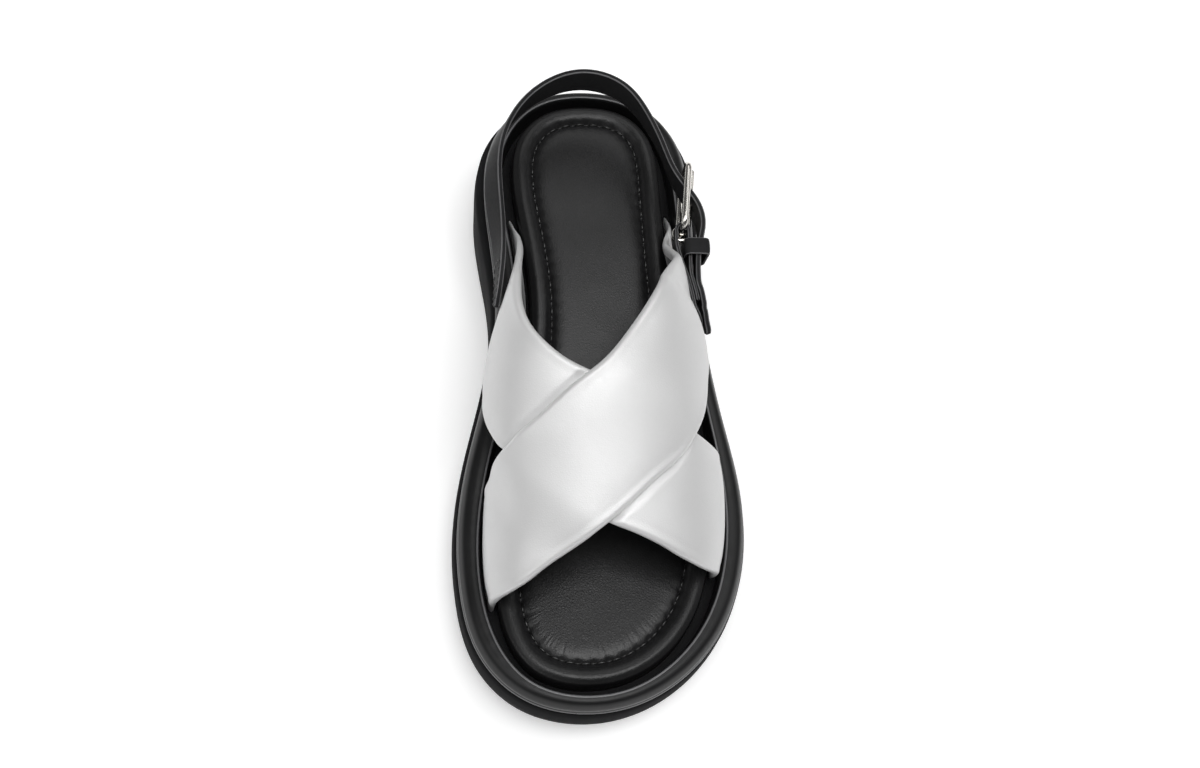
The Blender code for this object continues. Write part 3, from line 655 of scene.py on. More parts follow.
def sweep(rings, closed):
    """Points and faces of a row of like rings, capped at both ends unless the row is closed."""
    rings = np.asarray(rings)
    total, count = rings.shape[:2]
    faces = ring_faces(total, count, closed)
    if not closed:
        faces += [list(range(count)), list(range((total - 1) * count, total * count))]
    return rings.reshape(-1, 3), faces


def fill_ring(verts, faces, start, steps, height=None):
    """Close a ring with a fine floor: rungs across the foot, each cut into steps."""
    half = RING_POINTS // 2
    verts = list(verts)
    rungs = [[start] * (steps + 1)]
    share = np.arange(1, steps) / steps
    for i in range(1, half):
        a = verts[start + i]
        b = verts[start + RING_POINTS - i]
        inside = a + np.outer(share, b - a)
        if height:
            edge = np.minimum(share, 1.0 - share) * np.linalg.norm(b - a)
            inside[:, 2] = height(inside[:, 0], inside[:, 1], edge)
        new = range(len(verts), len(verts) + len(share))
        rungs.append([start + i, *new, start + RING_POINTS - i])
        verts.extend(inside)
    rungs.append([start + half] * (steps + 1))
    for low, high in zip(rungs[:-1], rungs[1:]):
        for k in range(steps):
            faces.append(list(dict.fromkeys((low[k], low[k + 1], high[k + 1], high[k]))))
    return verts, faces


def tread_height(x, y, edge):
    """Shallow wavy grooves across the heel and the forefoot, inside a plain border."""
    wave = (y + TREAD_SWAY * np.sin(x / TREAD_WAVE)) / TREAD_PITCH
    across = np.abs(wave - np.floor(wave) - 0.5) * TREAD_PITCH
    groove = 1.0 - ease((across - TREAD_WIDE / 2.0) / TREAD_WALL)
    waist = np.abs(y - ARCH_MIDDLE) - TREAD_WAIST
    border = np.min([edge - TREAD_BORDER, y - TREAD_FRONT, TREAD_REAR - y, waist], axis=0)
    return ground_height(y) + TREAD_DEEP * groove * ease(border / TREAD_FADE)


def build_outsole(mat):
    rings = []
    for out, from_deck, height in zip(*SOLE.values()):
        base = deck_height if from_deck else ground_height
        rings.append(plan_ring(OUTLINE["flare"] + out, lambda y: base(y) + height))
    rings.append(plan_ring(-INSET, deck_height))
    top = (len(rings) - 1) * RING_POINTS
    faces = ring_faces(len(rings), RING_POINTS, False)
    shape = fill_ring(np.vstack(rings), faces, 0, TREAD_STEPS, tread_height)
    shape = fill_ring(*shape, top, HIDDEN_STEPS)
    obj = make_piece("outsole_body", shape, [mat])
    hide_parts("outsole")


def build_rim(materials):
    """The rolled rim, with its bead and its lip in the second finish, a lighter tone that paints a
    highlight along them.
    """
    across = RIM["extra"] - RIM["share"] * RIM_WIDE.mean()
    section = points(closed_curve({"across": across, "up": RIM["height"], **RIM}, RIM_STEPS), RIM)
    share, extra, height = ((section + np.roll(section, -1, 0)) / 2.0).T
    bead = (share > BEAD_SHARE) & between(extra, BEAD_EXTRA)
    lip = (share < LIP_SHARE) & between(height, LIP_HEIGHT)
    rings = []
    for part, out, rise in section:
        rings.append(plan_ring(out - part * RIM_WIDE, lambda y: bed_height(y) + RIM_RISE + rise))
    rings = np.array(rings)
    top = np.clip((rings[:, :, 2] - bed_height(rings[:, :, 1]) + RIPPLE_REACH) / RIPPLE_REACH, 0.0, 1.0)
    spots = circle(RING_POINTS, (RIPPLE_BUSY, 0.0, 0.0), (0.0, RIPPLE_BUSY, 0.0))
    rings[:, :, 2] += np.array([noise.noise(spot) for spot in spots]) * top * RIPPLE
    # the bead's and the lip's faces take the second finish, a painted highlight line
    slots = np.repeat(bead | lip, RING_POINTS)
    obj = make_piece("rim_roll", sweep(rings, True), materials, slots)
    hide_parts("rim")


def seam_run():
    """The insole's closed seam line, the length along it, and how many stitches it takes."""
    ring = plan_ring(-INSET - SEAM_INWARD, bed_height)
    ring = np.vstack([ring, ring[:1]])
    along = length_along(ring)
    return ring, along, int(round(along[-1] / STITCH_PITCH))


def build_insole(mat):
    inward = np.concatenate([np.linspace(*run) for run in PAD_RUNS])
    heights = pad_height(inward)
    rings = [plan_ring(-INSET, lambda y: deck_height(y) + PIECE_GAP)]
    along, count = seam_run()[1:]
    beat = 0.5 - 0.5 * np.cos(math.tau * along[:-1] * count / along[-1])
    beats = np.linspace(0.0, PERIMETER / WRINKLE_PITCH, RING_POINTS, endpoint=False)
    wrinkles = np.array([noise.noise((t, WRINKLE_ROW, 0.0)) for t in beats])
    for depth, rise in zip(inward, heights):
        ring = plan_ring(-INSET - depth, lambda y: bed_height(y) + rise)
        away = depth - SEAM_INWARD
        ring[:, 2] -= PUCKER * bell(away / PUCKER_WIDE) * beat
        ring[:, 2] -= PIT * bell(away / PIT_WIDE) * beat ** PIT_POWER
        near = bell((depth - WRINKLE_INWARD) / WRINKLE_LONG)
        ring[:, 2] += WRINKLE * near * wrinkles * ease((WRINKLE_TOE - ring[:, 1]) / WRINKLE_FADE)
        rings.append(ring)

    def middle(x, y, edge):
        soft = [noise.noise((px, py, 0.0)) for px, py in zip(x / BED_WAVE_LONG, y / BED_WAVE_LONG)]
        return bed_height(y) + heights[-1] + BED_WAVE * np.array(soft) * ease(edge / BED_WAVE_LONG)

    top = (len(rings) - 1) * RING_POINTS
    faces = ring_faces(len(rings), RING_POINTS, False)
    shape = fill_ring(np.vstack(rings), faces, top, PAD_STEPS, middle)
    shape = fill_ring(*shape, 0, HIDDEN_STEPS)
    obj = make_piece("insole_pad", shape, [mat])
    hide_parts("insole")


def thread_mesh(spots, runs, ups, long, thick):
    """A row of short arched stitches as one mesh."""
    share = np.linspace(0.0, 1.0, THREAD_STEPS)
    arch = np.sin(math.pi * share)
    radius = thick / 2.0 * (THREAD_TIP + (1.0 - THREAD_TIP) * np.sqrt(arch))
    verts = []
    faces = []
    for spot, run, up in zip(spots, runs, ups):
        rise = np.outer(thick * (THREAD_ARCH * arch - THREAD_SINK), up)
        centre = spot + np.outer((share - 0.5) * long, run) + rise
        around = circle(THREAD_SIDES, np.cross(up, run), up)
        stitch, loops = sweep(centre[:, None] + radius[:, None, None] * around, False)
        faces += [[len(verts) + place for place in loop] for loop in loops]
        verts.extend(stitch)
    return verts, faces


def build_seam(mat):
    ring, along, count = seam_run()
    spots = resample(ring, along, np.arange(count) * along[-1] / count)
    runs = unit(np.roll(spots, -1, 0) - np.roll(spots, 1, 0))
    spots = spots + UP * (pad_height(SEAM_INWARD) - SEAM_SINK)
    shape = thread_mesh(spots, runs, np.tile(UP, (count, 1)), STITCH_LONG, THREAD)
    make_piece("insole_seam", shape, [mat])


def groove_x(ys, side):
    """Middle of the groove on one side of the foot."""
    line = RIM_LINE - RIM_SIDE * (INSET - OUTLINE["groove"] / 2.0)[:, None]
    line = line[(line[:, 0] * side > 0.0) & between(line[:, 1], GROOVE_ENDS)]
    line = line[np.argsort(line[:, 1])]
    return np.interp(ys, line[:, 1], line[:, 0])


def last_half(row, side):
    """One half of the last's section from the groove up to the ridge, evenly spaced."""
    bed = row["bed"]
    top = bed + row["top"]
    belly = row["inner_belly"] if side < 0 else row["outer_belly"]
    base = row["inner_x"] if side < 0 else row["outer_x"]
    wide = base + side * belly
    share = min(1.0, abs(belly) / BELLY_FULL)
    level = bed + BELLY_LOW + (row["belly_height"] - BELLY_LOW) * share
    z = np.linspace(bed - BAND_SINK, level, WALL_STEPS)
    rise = np.clip((z - bed + BELLY_START) / (level - bed + BELLY_START), 0.0, 1.0)
    x = base + (wide - base) * np.sin(rise * math.pi / 2.0) ** BELLY_POWER
    power = 2.0 / LAST_POWER
    t = np.linspace(0.0, math.pi / 2.0, DOME_STEPS)[1:]
    dome_x = row["ridge"] + (wide - row["ridge"]) * np.cos(t) ** power
    dome_z = level + (top - level) * np.sin(t) ** power
    line = np.column_stack([np.concatenate([x, dome_x]), np.concatenate([z, dome_z])])
    along = length_along(line)
    return resample(line, along, np.linspace(0.0, along[-1], GRID_HALF))


def last_grid():
    """Points of the last's surface, a row for each of its sections, and the way out of it at each."""
    rows = {name: curve(LAST["y"], values, GRID_Y) for name, values in LAST.items()}
    rows["bed"] = bed_height(GRID_Y)
    rows["inner_x"] = groove_x(GRID_Y, -1)
    rows["outer_x"] = groove_x(GRID_Y, 1)
    grid = []
    for i, y in enumerate(GRID_Y):
        row = {name: float(values[i]) for name, values in rows.items()}
        line = np.vstack([last_half(row, -1), last_half(row, 1)[::-1][1:]])
        grid.append(np.column_stack([line[:, 0], np.full(len(line), y), line[:, 1]]))
    grid = np.array(grid)
    return grid, unit(np.cross(np.gradient(grid, axis=1), np.gradient(grid, axis=0)))


LAST_POINTS, LAST_FACING = last_grid()


def on_grid(values, y, around):
    """Values of the last's grid at places along the foot and round it."""
    i = np.interp(y, GRID_Y, np.arange(len(GRID_Y)))
    j = np.interp(around, GRID_ROUND, np.arange(len(GRID_ROUND)))
    i0 = np.minimum(i.astype(int), len(GRID_Y) - 2)
    j0 = np.minimum(j.astype(int), len(GRID_ROUND) - 2)
    u = (i - i0)[..., None]
    v = (j - j0)[..., None]
    low = values[i0, j0] * (1.0 - v) + values[i0, j0 + 1] * v
    high = values[i0 + 1, j0] * (1.0 - v) + values[i0 + 1, j0 + 1] * v
    return low * (1.0 - u) + high * u


def band_edge(rows, name, around):
    return softened(steady(rows["round"], rows[name], around), EDGE_SOFT)


def crossing(rows, y, around, reach):
    """1 where the other band crosses this one, easing off over a reach along the foot."""
    front = band_edge(rows, "front", around)[:, None]
    rear = band_edge(rows, "rear", around)[:, None]
    return ease(1.0 + np.minimum(y - front, rear - y) / reach)


def band_half(y):
    """Half the bands' thickness: the padding runs out towards their rear wings."""
    share = ease((y - WING_START) / (WING_FULL - WING_START))
    return (BAND_THICK + (WING_THICK - BAND_THICK) * share) / 2.0


def edge_stretch(edge, around):
    """How much a slanted edge stretches a distance measured along the foot."""
    nudge = 0.002
    level = on_grid(LAST_POINTS, edge, around + nudge) - on_grid(LAST_POINTS, edge, around)
    across = np.linalg.norm(level, axis=1) / nudge
    slope = np.gradient(edge, around) / np.maximum(across, 1.0)
    return np.minimum(EDGE_STRETCH, np.hypot(1.0, slope))


def crease_depth(creases, y, around):
    """Soft troughs in a band, each with a low ridge on both sides."""
    arc = around * ARC_HALF
    total = np.zeros_like(y)
    for y0, arc0, y1, arc1, wide, deep in zip(*creases.values()):
        run = np.array([y1 - y0, arc1 - arc0])
        t = ((y - y0) * run[0] + (arc - arc0) * run[1]) / run.dot(run)
        near = np.clip(t, 0.0, 1.0)
        away = np.hypot(y - y0 - near * run[0], arc - arc0 - near * run[1]) / wide
        fade = np.sin(math.pi * np.clip(t, CREASE_END, 1.0 - CREASE_END)) ** CREASE_POWER
        ridge = RIDGE_SHARE * bell((away - RIDGE_AWAY) / RIDGE_WIDE)
        total += deep * fade * (bell(away) - ridge)
    return total


def build_band(name, rows, creases, on_top, materials):
    """A padded band on the last, with rolled edges and its lining in the second finish."""
    around = np.linspace(-1.0, 1.0, BAND_STATIONS)
    front = band_edge(rows, "front", around)
    rear = band_edge(rows, "rear", around)
    steps = np.array(EDGE_STEPS)
    fore = front[:, None] + steps * edge_stretch(front, around)[:, None]
    back = rear[:, None] - steps[::-1] * edge_stretch(rear, around)[:, None]
    share = np.linspace(0.0, 1.0, FLAT_STEPS + 2)[1:-1]
    flat = back[:, :1] - fore[:, -1:]
    y = np.hstack([fore, fore[:, -1:] + flat * share, back])
    inner = steps[-1] + np.minimum(share, 1.0 - share) * flat / FLAT_SLANT
    edge = np.hstack([np.tile(steps, (len(y), 1)), inner, np.tile(steps[::-1], (len(y), 1))])
    turn = np.repeat(around[:, None], y.shape[1], 1)
    point = on_grid(LAST_POINTS, y, turn)
    face = unit(on_grid(LAST_FACING, y, turn))
    lift = 0.0
    press = 0.0
    if on_top:
        lift = CROSS_LIFT * crossing(UNDER_BAND, y, around, CROSS_EASE)
    else:
        press = PRESS * crossing(OVER_BAND, y, around, PRESS_EASE)
    roll = np.sqrt(1.0 - (1.0 - np.minimum(edge / EDGE_ROUND, 1.0)) ** 2)
    half = band_half(y) * roll * (1.0 - SKIVE * ease((np.abs(turn) - SKIVE_START) / SKIVE_EASE))
    soft = [noise.noise(Vector(p) / SOFT_WAVE_LONG) for p in point.reshape(-1, 3)]
    puff = CROWN * ease((edge - EDGE_ROUND) / CROWN_EASE)
    puff -= ROLL_DEEP * bell((edge - EDGE_ROLL) / ROLL_WIDE)
    puff += SOFT_WAVE * np.reshape(soft, y.shape) * ease(edge / SOFT_WAVE_EASE)
    puff -= crease_depth(creases, y, turn) * ease(edge / CREASE_EASE)
    top = point + face * (lift + half + puff - press * roll)[:, :, None]
    under = point + face * (lift - half + LINING_DROP * ease(edge - LINING_MARGIN))[:, :, None]
    ring = np.concatenate([top, under[:, -2:0:-1]], axis=1)
    stations, count = ring.shape[:2]
    wide = top.shape[1]
    ring_edge = np.concatenate([np.zeros(wide), edge[0, -2:0:-1]])
    inside = (ring_edge > LINING_MARGIN) & (np.roll(ring_edge, -1) > LINING_MARGIN)
    faces = ring_faces(stations, count, False)
    slots = np.tile(inside.astype(int), stations - 1).tolist()
    for start in (0, (stations - 1) * count):
        for k in (*range(1, wide - 1), 0):
            corners = dict.fromkeys((k, k + 1, count - k - 1, (count - k) % count))
            faces.append([start + corner for corner in corners])
            slots.append(0)
    return make_piece(name, (ring, faces), materials, slots)


def build_upper(materials):
    over = build_band("over_band", OVER_BAND, OVER_CREASES, True, materials)
    under = build_band("under_band", UNDER_BAND, UNDER_CREASES, False, materials)
    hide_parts("upper")
    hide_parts("upper")


def last_x(y, z, side):
    """How far out the last's side lies at a height."""
    line = on_grid(LAST_POINTS, np.full(len(GRID_ROUND), y), GRID_ROUND)
    half = line[:GRID_HALF] if side < 0 else line[:GRID_HALF - 2:-1]
    return float(np.interp(z, half[:, 2], half[:, 0]))


def beside_last(y, z, side, away):
    """A spot level with the last's side at height z, the given distance off its surface."""
    reach = 1.5
    slope = (last_x(y, z + reach, side) - last_x(y, z - reach, side)) / (2.0 * reach)
    return last_x(y, z, side) + side * away * math.hypot(1.0, slope)


def stand_off(y, thick):
    """From the bands' middle surface to the middle of a strip lying on them."""
    return float(band_half(y)) + PIECE_GAP + WALL_BOW + thick / 2.0


def strap_edges():
    """Upper and lower edge lines of the heel strap, kept clear of the bands and the tab."""
    along = length_along(points(STRAP, "xyz"))
    even = np.linspace(0.0, 1.0, STRAP_STATIONS)
    want = along[-1] * (even - STRAP_CROWD * np.sin(math.tau * even) / math.tau)
    line = {name: curve(along, values, want) for name, values in STRAP.items()}
    middle = points(line, "xyz")
    run = np.gradient(middle, axis=0)
    out = unit(np.column_stack([-run[:, 1], run[:, 0], np.zeros(len(run))]))
    rise = np.sqrt(STRAP_WIDE ** 2 - line["lean"] ** 2)
    offset = (np.outer(rise, UP) - out * line["lean"][:, None]) / 2.0
    edges = (middle + offset, middle - offset)
    for i, (x, y) in enumerate(middle[:, :2]):
        clear = stand_off(y, STRAP_THICK)
        leaves = 1.0 + float(ease((y - TAB_FRONT + TAB_LEAD) / (TAB_END - TAB_FRONT)))
        for edge in edges:
            if x < 0.0 and y < INNER_END:
                edge[i, 0] = min(edge[i, 0], beside_last(y, edge[i, 2], -1, clear))
            if x > 0.0 and y < TAIL_END:
                edge[i, 0] = max(edge[i, 0], beside_last(y, edge[i, 2], 1, clear + leaves * LEAF_STEP))
    for edge in edges:
        edge[:, 0] = softened(edge[:, 0], STRIP_SOFT)
    return edges


def side_height(y):
    """Middle height of the tab, the same line as the strap's tail."""
    return float(curve(STRAP["y"][TAIL_ROW:][::-1], STRAP["z"][TAIL_ROW:][::-1], y))


def inner_leaf(y, z):
    return beside_last(y, z, 1, stand_off(y, TAB_THICK))


def frame_axes():
    """Along the buckle frame, up it, and out of its face."""
    swing = math.radians(FRAME_SWING)
    along = unit(np.array([math.sin(swing), math.cos(swing), math.sin(math.radians(FRAME_TILT))]))
    up = unit(UP - along * UP.dot(along))
    return along, up, np.cross(along, up)


FRAME_AXES = frame_axes()
FOLD_Z = side_height(FOLD_Y)
FOLD_X = max(inner_leaf(FOLD_Y, FOLD_Z + h) for h in (-TAB_WIDE / 2.0, 0.0)) + FOLD_RADIUS
FOLD_MIDDLE = np.array([FOLD_X, FOLD_Y, FOLD_Z])
FRAME_BAR = FOLD_MIDDLE + FRAME_AXES[0] * (FOLD_RADIUS - TAB_THICK / 2.0 - PIECE_GAP - WIRE / 2.0)
PRONG_LIFT = WIRE / 2.0 + PIECE_GAP + PRONG_WIRE / 2.0


def tab_edges():
    """Inner leaf on the band, round the buckle's bar, and back along the outside."""
    along, up, out = FRAME_AXES
    edges = []
    for h in (TAB_WIDE / 2.0, -TAB_WIDE / 2.0):
        edge = []
        for y in np.linspace(TAB_FRONT, FOLD_Y - FOLD_IN, LEAF_STEPS):
            z = side_height(y) + h
            edge.append((inner_leaf(y, z), y, z))
        for angle in np.radians(np.linspace(-90.0, 90.0, FOLD_STEPS)):
            way = math.sin(angle) * out + math.cos(angle) * along
            edge.append(FOLD_MIDDLE + FOLD_RADIUS * way + up * h)
        for y in np.linspace(FOLD_Y - FOLD_OUT, TAB_END, LEAF_STEPS):
            z = side_height(y) + h
            share = float(ease((LEAF_PART - y) / (LEAF_PART - TAB_END)))
            rest = beside_last(y, z, 1, stand_off(y, TAB_THICK) + LEAF_STEP)
            x = (FOLD_X + FOLD_RADIUS) * (1.0 - share) + rest * share
            edge.append((max(x, rest), y, z))
        edges.append(np.array(edge))
    run = length_along(np.mean(edges, 0))
    want = np.linspace(0.0, run[-1], TAB_STATIONS)
    both = resample(np.hstack(edges), run, want)
    both = np.stack([softened(values, STRIP_SOFT) for values in both.T], 1)
    return both[:, :3], both[:, 3:]


def tapered(wide, away, length, blunt):
    """A strip's width, rounded off towards its end."""
    share = np.clip(away / length, 0.0, 1.0)
    return wide * (blunt + (1.0 - blunt) * np.sqrt(share * (2.0 - share)))


def strip_section(wide, thick, corner, dome):
    """Section of a strip: rounded corners, softly domed faces, and which of its sides are corners."""
    turns = rounded(wide / 2.0, thick / 2.0, corner, CORNER_STEPS)[0].reshape(len(CORNERS), -1, 2)
    share = np.linspace(0.0, 1.0, FACE_STEPS)[1:-1]
    rise = 4.0 * dome * share * (1.0 - share)
    face = np.column_stack([(wide / 2.0 - corner) * (1.0 - 2.0 * share), thick / 2.0 + rise])
    turn = [1] * (CORNER_STEPS - 1) + [0]
    corners = turn + [0] * len(face) + turn
    return np.vstack([turns[0], face, turns[1], turns[2], -face, turns[3]]), corners * 2


def build_strip(name, edges, thick, widths, materials):
    """A leather strip between two edge lines, with round ends and the corners in a second, lighter finish
    that paints a highlight along them.
    """
    upper, lower = edges
    middle = (upper + lower) / 2.0
    run = unit(np.gradient(middle, axis=0))
    across = upper - lower
    across = unit(across - run * np.sum(across * run, axis=1)[:, None])
    face = np.cross(run, across)

    def ring(i, turn, way):
        inset = STRIP_CORNER * (1.0 - math.cos(turn))
        corner = max(STRIP_CORNER - inset, STRIP_LEAST)
        shape = strip_section(widths[i] - 2.0 * inset, thick - 2.0 * inset, corner, STRIP_DOME)[0]
        centre = middle[i] + run[i] * way * STRIP_CORNER * math.sin(turn)
        return centre + shape[:, :1] * across[i] + shape[:, 1:] * face[i]

    turns = np.radians(STRIP_TURNS)
    rings = [ring(0, turn, -1.0) for turn in turns]
    rings += [ring(i, 0.0, 0.0) for i in range(len(middle))]
    rings += [ring(-1, turn, 1.0) for turn in turns[::-1]]
    corners = strip_section(widths[0], thick, STRIP_CORNER, STRIP_DOME)[1]
    # corner faces take the second finish, a painted highlight
    slots = corners * (len(rings) - 1) + [0, 0]
    return make_piece(name, sweep(rings, False), materials, slots)


def cutter(middle, axes, sizes, sides):
    """A prism along the third axis, used only to cut another piece."""
    reach = 0.5 / math.cos(math.pi / sides)
    flat = circle(sides, axes[0] * sizes[0], axes[1] * sizes[1], start=0.5)
    rings = [middle + flat * reach + axes[2] * sizes[2] * end for end in (-0.5, 0.5)]
    return add_object("cutter", make_mesh("cutter", sweep(rings, False)))


def cut_away(obj, cutters):
    """Take the cutters' shapes out of a piece, and the cutters out of the scene."""
    for tool in cutters:
        cut = obj.modifiers.new("cut", "BOOLEAN")
        cut.object = tool
    mesh = bpy.data.meshes.new_from_object(obj.evaluated_get(bpy.context.evaluated_depsgraph_get()))
    obj.modifiers.clear()
    obj.data = mesh
    for tool in cutters:
        bpy.data.objects.remove(tool)
    mesh.set_sharp_from_angle(angle=math.radians(SHARP_ANGLE))


def build_end_seam(edges, along, widths, mat):
    """Stitches that hold the strap's inner end on the band: both edges, the tip and a row across."""
    middle = np.mean(edges, 0)
    across = unit(edges[0] - edges[1])
    out = unit(np.cross(across, np.gradient(middle, axis=0)))
    reach = widths / 2.0 - END_SEAM_IN
    inside = np.flatnonzero((along < END_SEAM_LONG) & (reach > 0.0))
    base = middle + out * STRAP_THICK / 2.0
    high = (base + across * reach[:, None])[inside]
    low = (base - across * reach[:, None])[inside]
    loop = np.vstack([high[::-1], low, high[-1:]])
    ups = np.vstack([out[inside[::-1]], out[inside], out[inside[-1:]]])
    run = length_along(loop)
    count = int(round(run[-1] / END_PITCH))
    want = (np.arange(count) + 0.5) * run[-1] / count
    nudge = 0.2
    runs = unit(resample(loop, run, want + nudge) - resample(loop, run, want - nudge))
    spots = resample(loop, run, want)
    shape = thread_mesh(spots, runs, resample(ups, run, want), END_STITCH, END_THREAD)
    make_piece("strap_end_seam", shape, [mat])


def build_strap(materials, thread_mat):
    edges = strap_edges()
    middle = np.mean(edges, 0)
    along = length_along(middle)
    widths = tapered(STRAP_WIDE, np.minimum(along, along[-1] - along), TIP_LENGTH, TIP_BLUNT)
    obj = build_strip("heel_strap_leather", edges, STRAP_THICK, widths, materials)
    build_end_seam(edges, along, widths, thread_mat)
    slot = PRONG_WIRE + 2.0 * PIECE_GAP
    spot = FRAME_BAR + FRAME_AXES[0] * FRAME_LONG / 2.0 + FRAME_AXES[2] * PRONG_LIFT
    cutters = [cutter(spot, FRAME_AXES, (PRONG_SLOT, slot, slot), len(CORNERS))]
    for y in PUNCHED_Y:
        i = int(np.argmin(np.where(middle[:, 0] > 0.0, np.abs(middle[:, 1] - y), np.inf)))
        across = unit(edges[0][i] - edges[1][i])
        run = unit(middle[i + 1] - middle[i - 1])
        axes = (run, across, np.cross(run, across))
        cutters.append(cutter(middle[i], axes, (PUNCH, PUNCH, PUNCH_DEEP), PUNCH_SIDES))
    cut_away(obj, cutters)
    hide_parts("heel_strap")


def build_tab(materials):
    edges = tab_edges()
    along = length_along(np.mean(edges, 0))
    widths = tapered(TAB_WIDE, along, TAB_NOSE, TAB_BLUNT)
    obj = build_strip("buckle_tab_leather", edges, TAB_THICK, widths, materials)
    spot = FRAME_BAR + FRAME_AXES[0] * TAB_SLOT_PAST
    cut_away(obj, [cutter(spot, FRAME_AXES, TAB_SLOT, len(CORNERS))])
    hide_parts("buckle_tab")


def build_keeper(materials):
    """A soft loop round the tail and the tab, as wide and as deep as its solid."""
    low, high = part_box("keeper_loop")
    reach = 4.0
    slope = (side_height(KEEPER_Y + reach) - side_height(KEEPER_Y - reach)) / (2.0 * reach)
    along = unit(np.array([0.0, 1.0, slope]))
    out = np.array([1.0, 0.0, 0.0])
    up = np.cross(out, along)
    middle = np.array([(low.x + high.x) / 2.0 / MM - SHIFT[0], KEEPER_Y, side_height(KEEPER_Y)])
    half = ((high.x - low.x) / MM - KEEPER_THICK) / 2.0
    tall = (STRAP_WIDE + KEEPER_THICK) / 2.0 + PIECE_GAP + KEEPER_EASE
    section, corners = strip_section(KEEPER_WIDE, KEEPER_THICK, KEEPER_EDGE, KEEPER_DOME)
    plane = np.array([out, up])
    rings = []
    for spot, way in zip(*rounded(half, tall, KEEPER_CORNER, KEEPER_STEPS)):
        rings.append(middle + spot @ plane + section[:, :1] * along + section[:, 1:] * (way @ plane))
    # the keeper's corners take the strips' second finish, a painted highlight
    obj = make_piece("keeper_leather", sweep(rings, True), materials, corners * len(rings))
    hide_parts("keeper_loop")


def build_wire(name, node, path, normal, thick, mat, closed):
    """A round wire along a flat path; an open one has domed ends."""
    path = np.array(path)
    radius = np.full(len(path), thick / 2.0)
    if closed:
        run = np.roll(path, -1, 0) - np.roll(path, 1, 0)
    else:
        turns = np.radians(WIRE_TURNS)
        dome = np.sin(turns)[:, None] * thick / 2.0
        start = path[0] + unit(path[0] - path[1]) * dome
        end = path[-1] + unit(path[-1] - path[-2]) * dome[::-1]
        path = np.vstack([start, path, end])
        shrink = np.cos(turns) * thick / 2.0
        radius = np.concatenate([shrink, radius, shrink[::-1]])
        run = np.gradient(path, axis=0)
    side = unit(np.cross(run, normal))
    around = np.array([circle(WIRE_SIDES, way, normal) for way in side])
    rings = path[:, None] + around * radius[:, None, None]
    obj = make_piece(name, sweep(rings, closed), [mat])
    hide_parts(node)


def build_buckle(mat):
    """The frame turns and the prong pivots about the frame's front bar; both are fastened here."""
    along, up, out = FRAME_AXES
    line = rounded(FRAME_LONG / 2.0, FRAME_WIDE / 2.0, FRAME_CORNER, FRAME_STEPS)[0]
    loop = FRAME_BAR + along * FRAME_LONG / 2.0 + line @ np.array([along, up])
    build_wire("buckle_frame_metal", "buckle_frame", loop, out, WIRE, mat, True)
    prong = []
    for angle in np.radians(np.linspace(PRONG_CURL, 90.0, PRONG_TURN_STEPS)):
        prong.append(FRAME_BAR + (out * math.sin(angle) - along * math.cos(angle)) * PRONG_LIFT)
    for share in np.linspace(0.0, 1.0, PRONG_STEPS)[1:]:
        prong.append(FRAME_BAR + along * (FRAME_LONG + PRONG_PAST) * share + out * PRONG_LIFT)
    build_wire("buckle_prong_metal", "buckle_prong", prong, up, PRONG_WIRE, mat, False)


def shader_inputs(mat):
    return mat.node_tree.nodes["Principled BSDF"].inputs


def new_material(name, tone, roughness, gloss=0.5, metallic=0.0):
    """A plain finish, and the object coordinates that its textures share."""
    mat = bpy.data.materials.new(name)
    mat.use_nodes = True
    inputs = shader_inputs(mat)
    inputs["Base Color"].default_value = (*tone, 1.0)
    inputs["Metallic"].default_value = metallic
    inputs["Roughness"].default_value = roughness
    inputs["Specular IOR Level"].default_value = gloss
    return mat, mat.node_tree.nodes.new("ShaderNodeTexCoord").outputs["Object"]


def feed(mat, source, name):
    """Link a node's output to one of the shader's inputs."""
    mat.node_tree.links.new(source, shader_inputs(mat)[name])


def add_node(owner, kind, values, links, **settings):
    """A shader node with its settings and numbers, and with its inputs linked."""
    node = owner.node_tree.nodes.new(kind)
    for name, value in settings.items():
        setattr(node, name, value)
    for name, value in values.items():
        node.inputs[name].default_value = value
    for name, source in links.items():
        owner.node_tree.links.new(source, node.inputs[name])
    return node


def noise_node(mat, spot, scale, detail):
    values = {"Scale": scale, "Detail": detail}
    return add_node(mat, "ShaderNodeTexNoise", values, {"Vector": spot}).outputs["Fac"]


def grain_node(mat, spot, scale):
    """Pebbles of leather: high in the middle of each cell, low at its edge."""
    values = {"Scale": scale}
    node = add_node(mat, "ShaderNodeTexVoronoi", values, {"Vector": spot}, feature="DISTANCE_TO_EDGE")
    return node.outputs["Distance"]


def ranged(owner, value, low, high, new_low, new_high):
    limits = {"From Min": low, "From Max": high, "To Min": new_low, "To Max": new_high}
    return add_node(owner, "ShaderNodeMapRange", limits, {"Value": value}).outputs["Result"]


def bump(mat, height, strength, distance, before=None):
    links = {"Height": height}
    if before is not None:
        links["Normal"] = before
    values = {"Strength": strength, "Distance": distance}
    normal = add_node(mat, "ShaderNodeBump", values, links).outputs["Normal"]
    feed(mat, normal, "Normal")
    return normal


def vary_tone(mat, value, dark, light):
    """Base colour between two tones, by a texture."""
    tones = {"A": (*dark, 1.0), "B": (*light, 1.0)}
    node = add_node(mat, "ShaderNodeMix", tones, {"Factor": value}, data_type="RGBA")
    feed(mat, node.outputs["Result"], "Base Color")


def vary_gloss(mat, value, span, smooth, rough):
    """Roughness between two values, by a texture."""
    feed(mat, ranged(mat, value, *span, smooth, rough), "Roughness")


def scaled(tone, factor):
    return tuple(part * factor for part in tone)


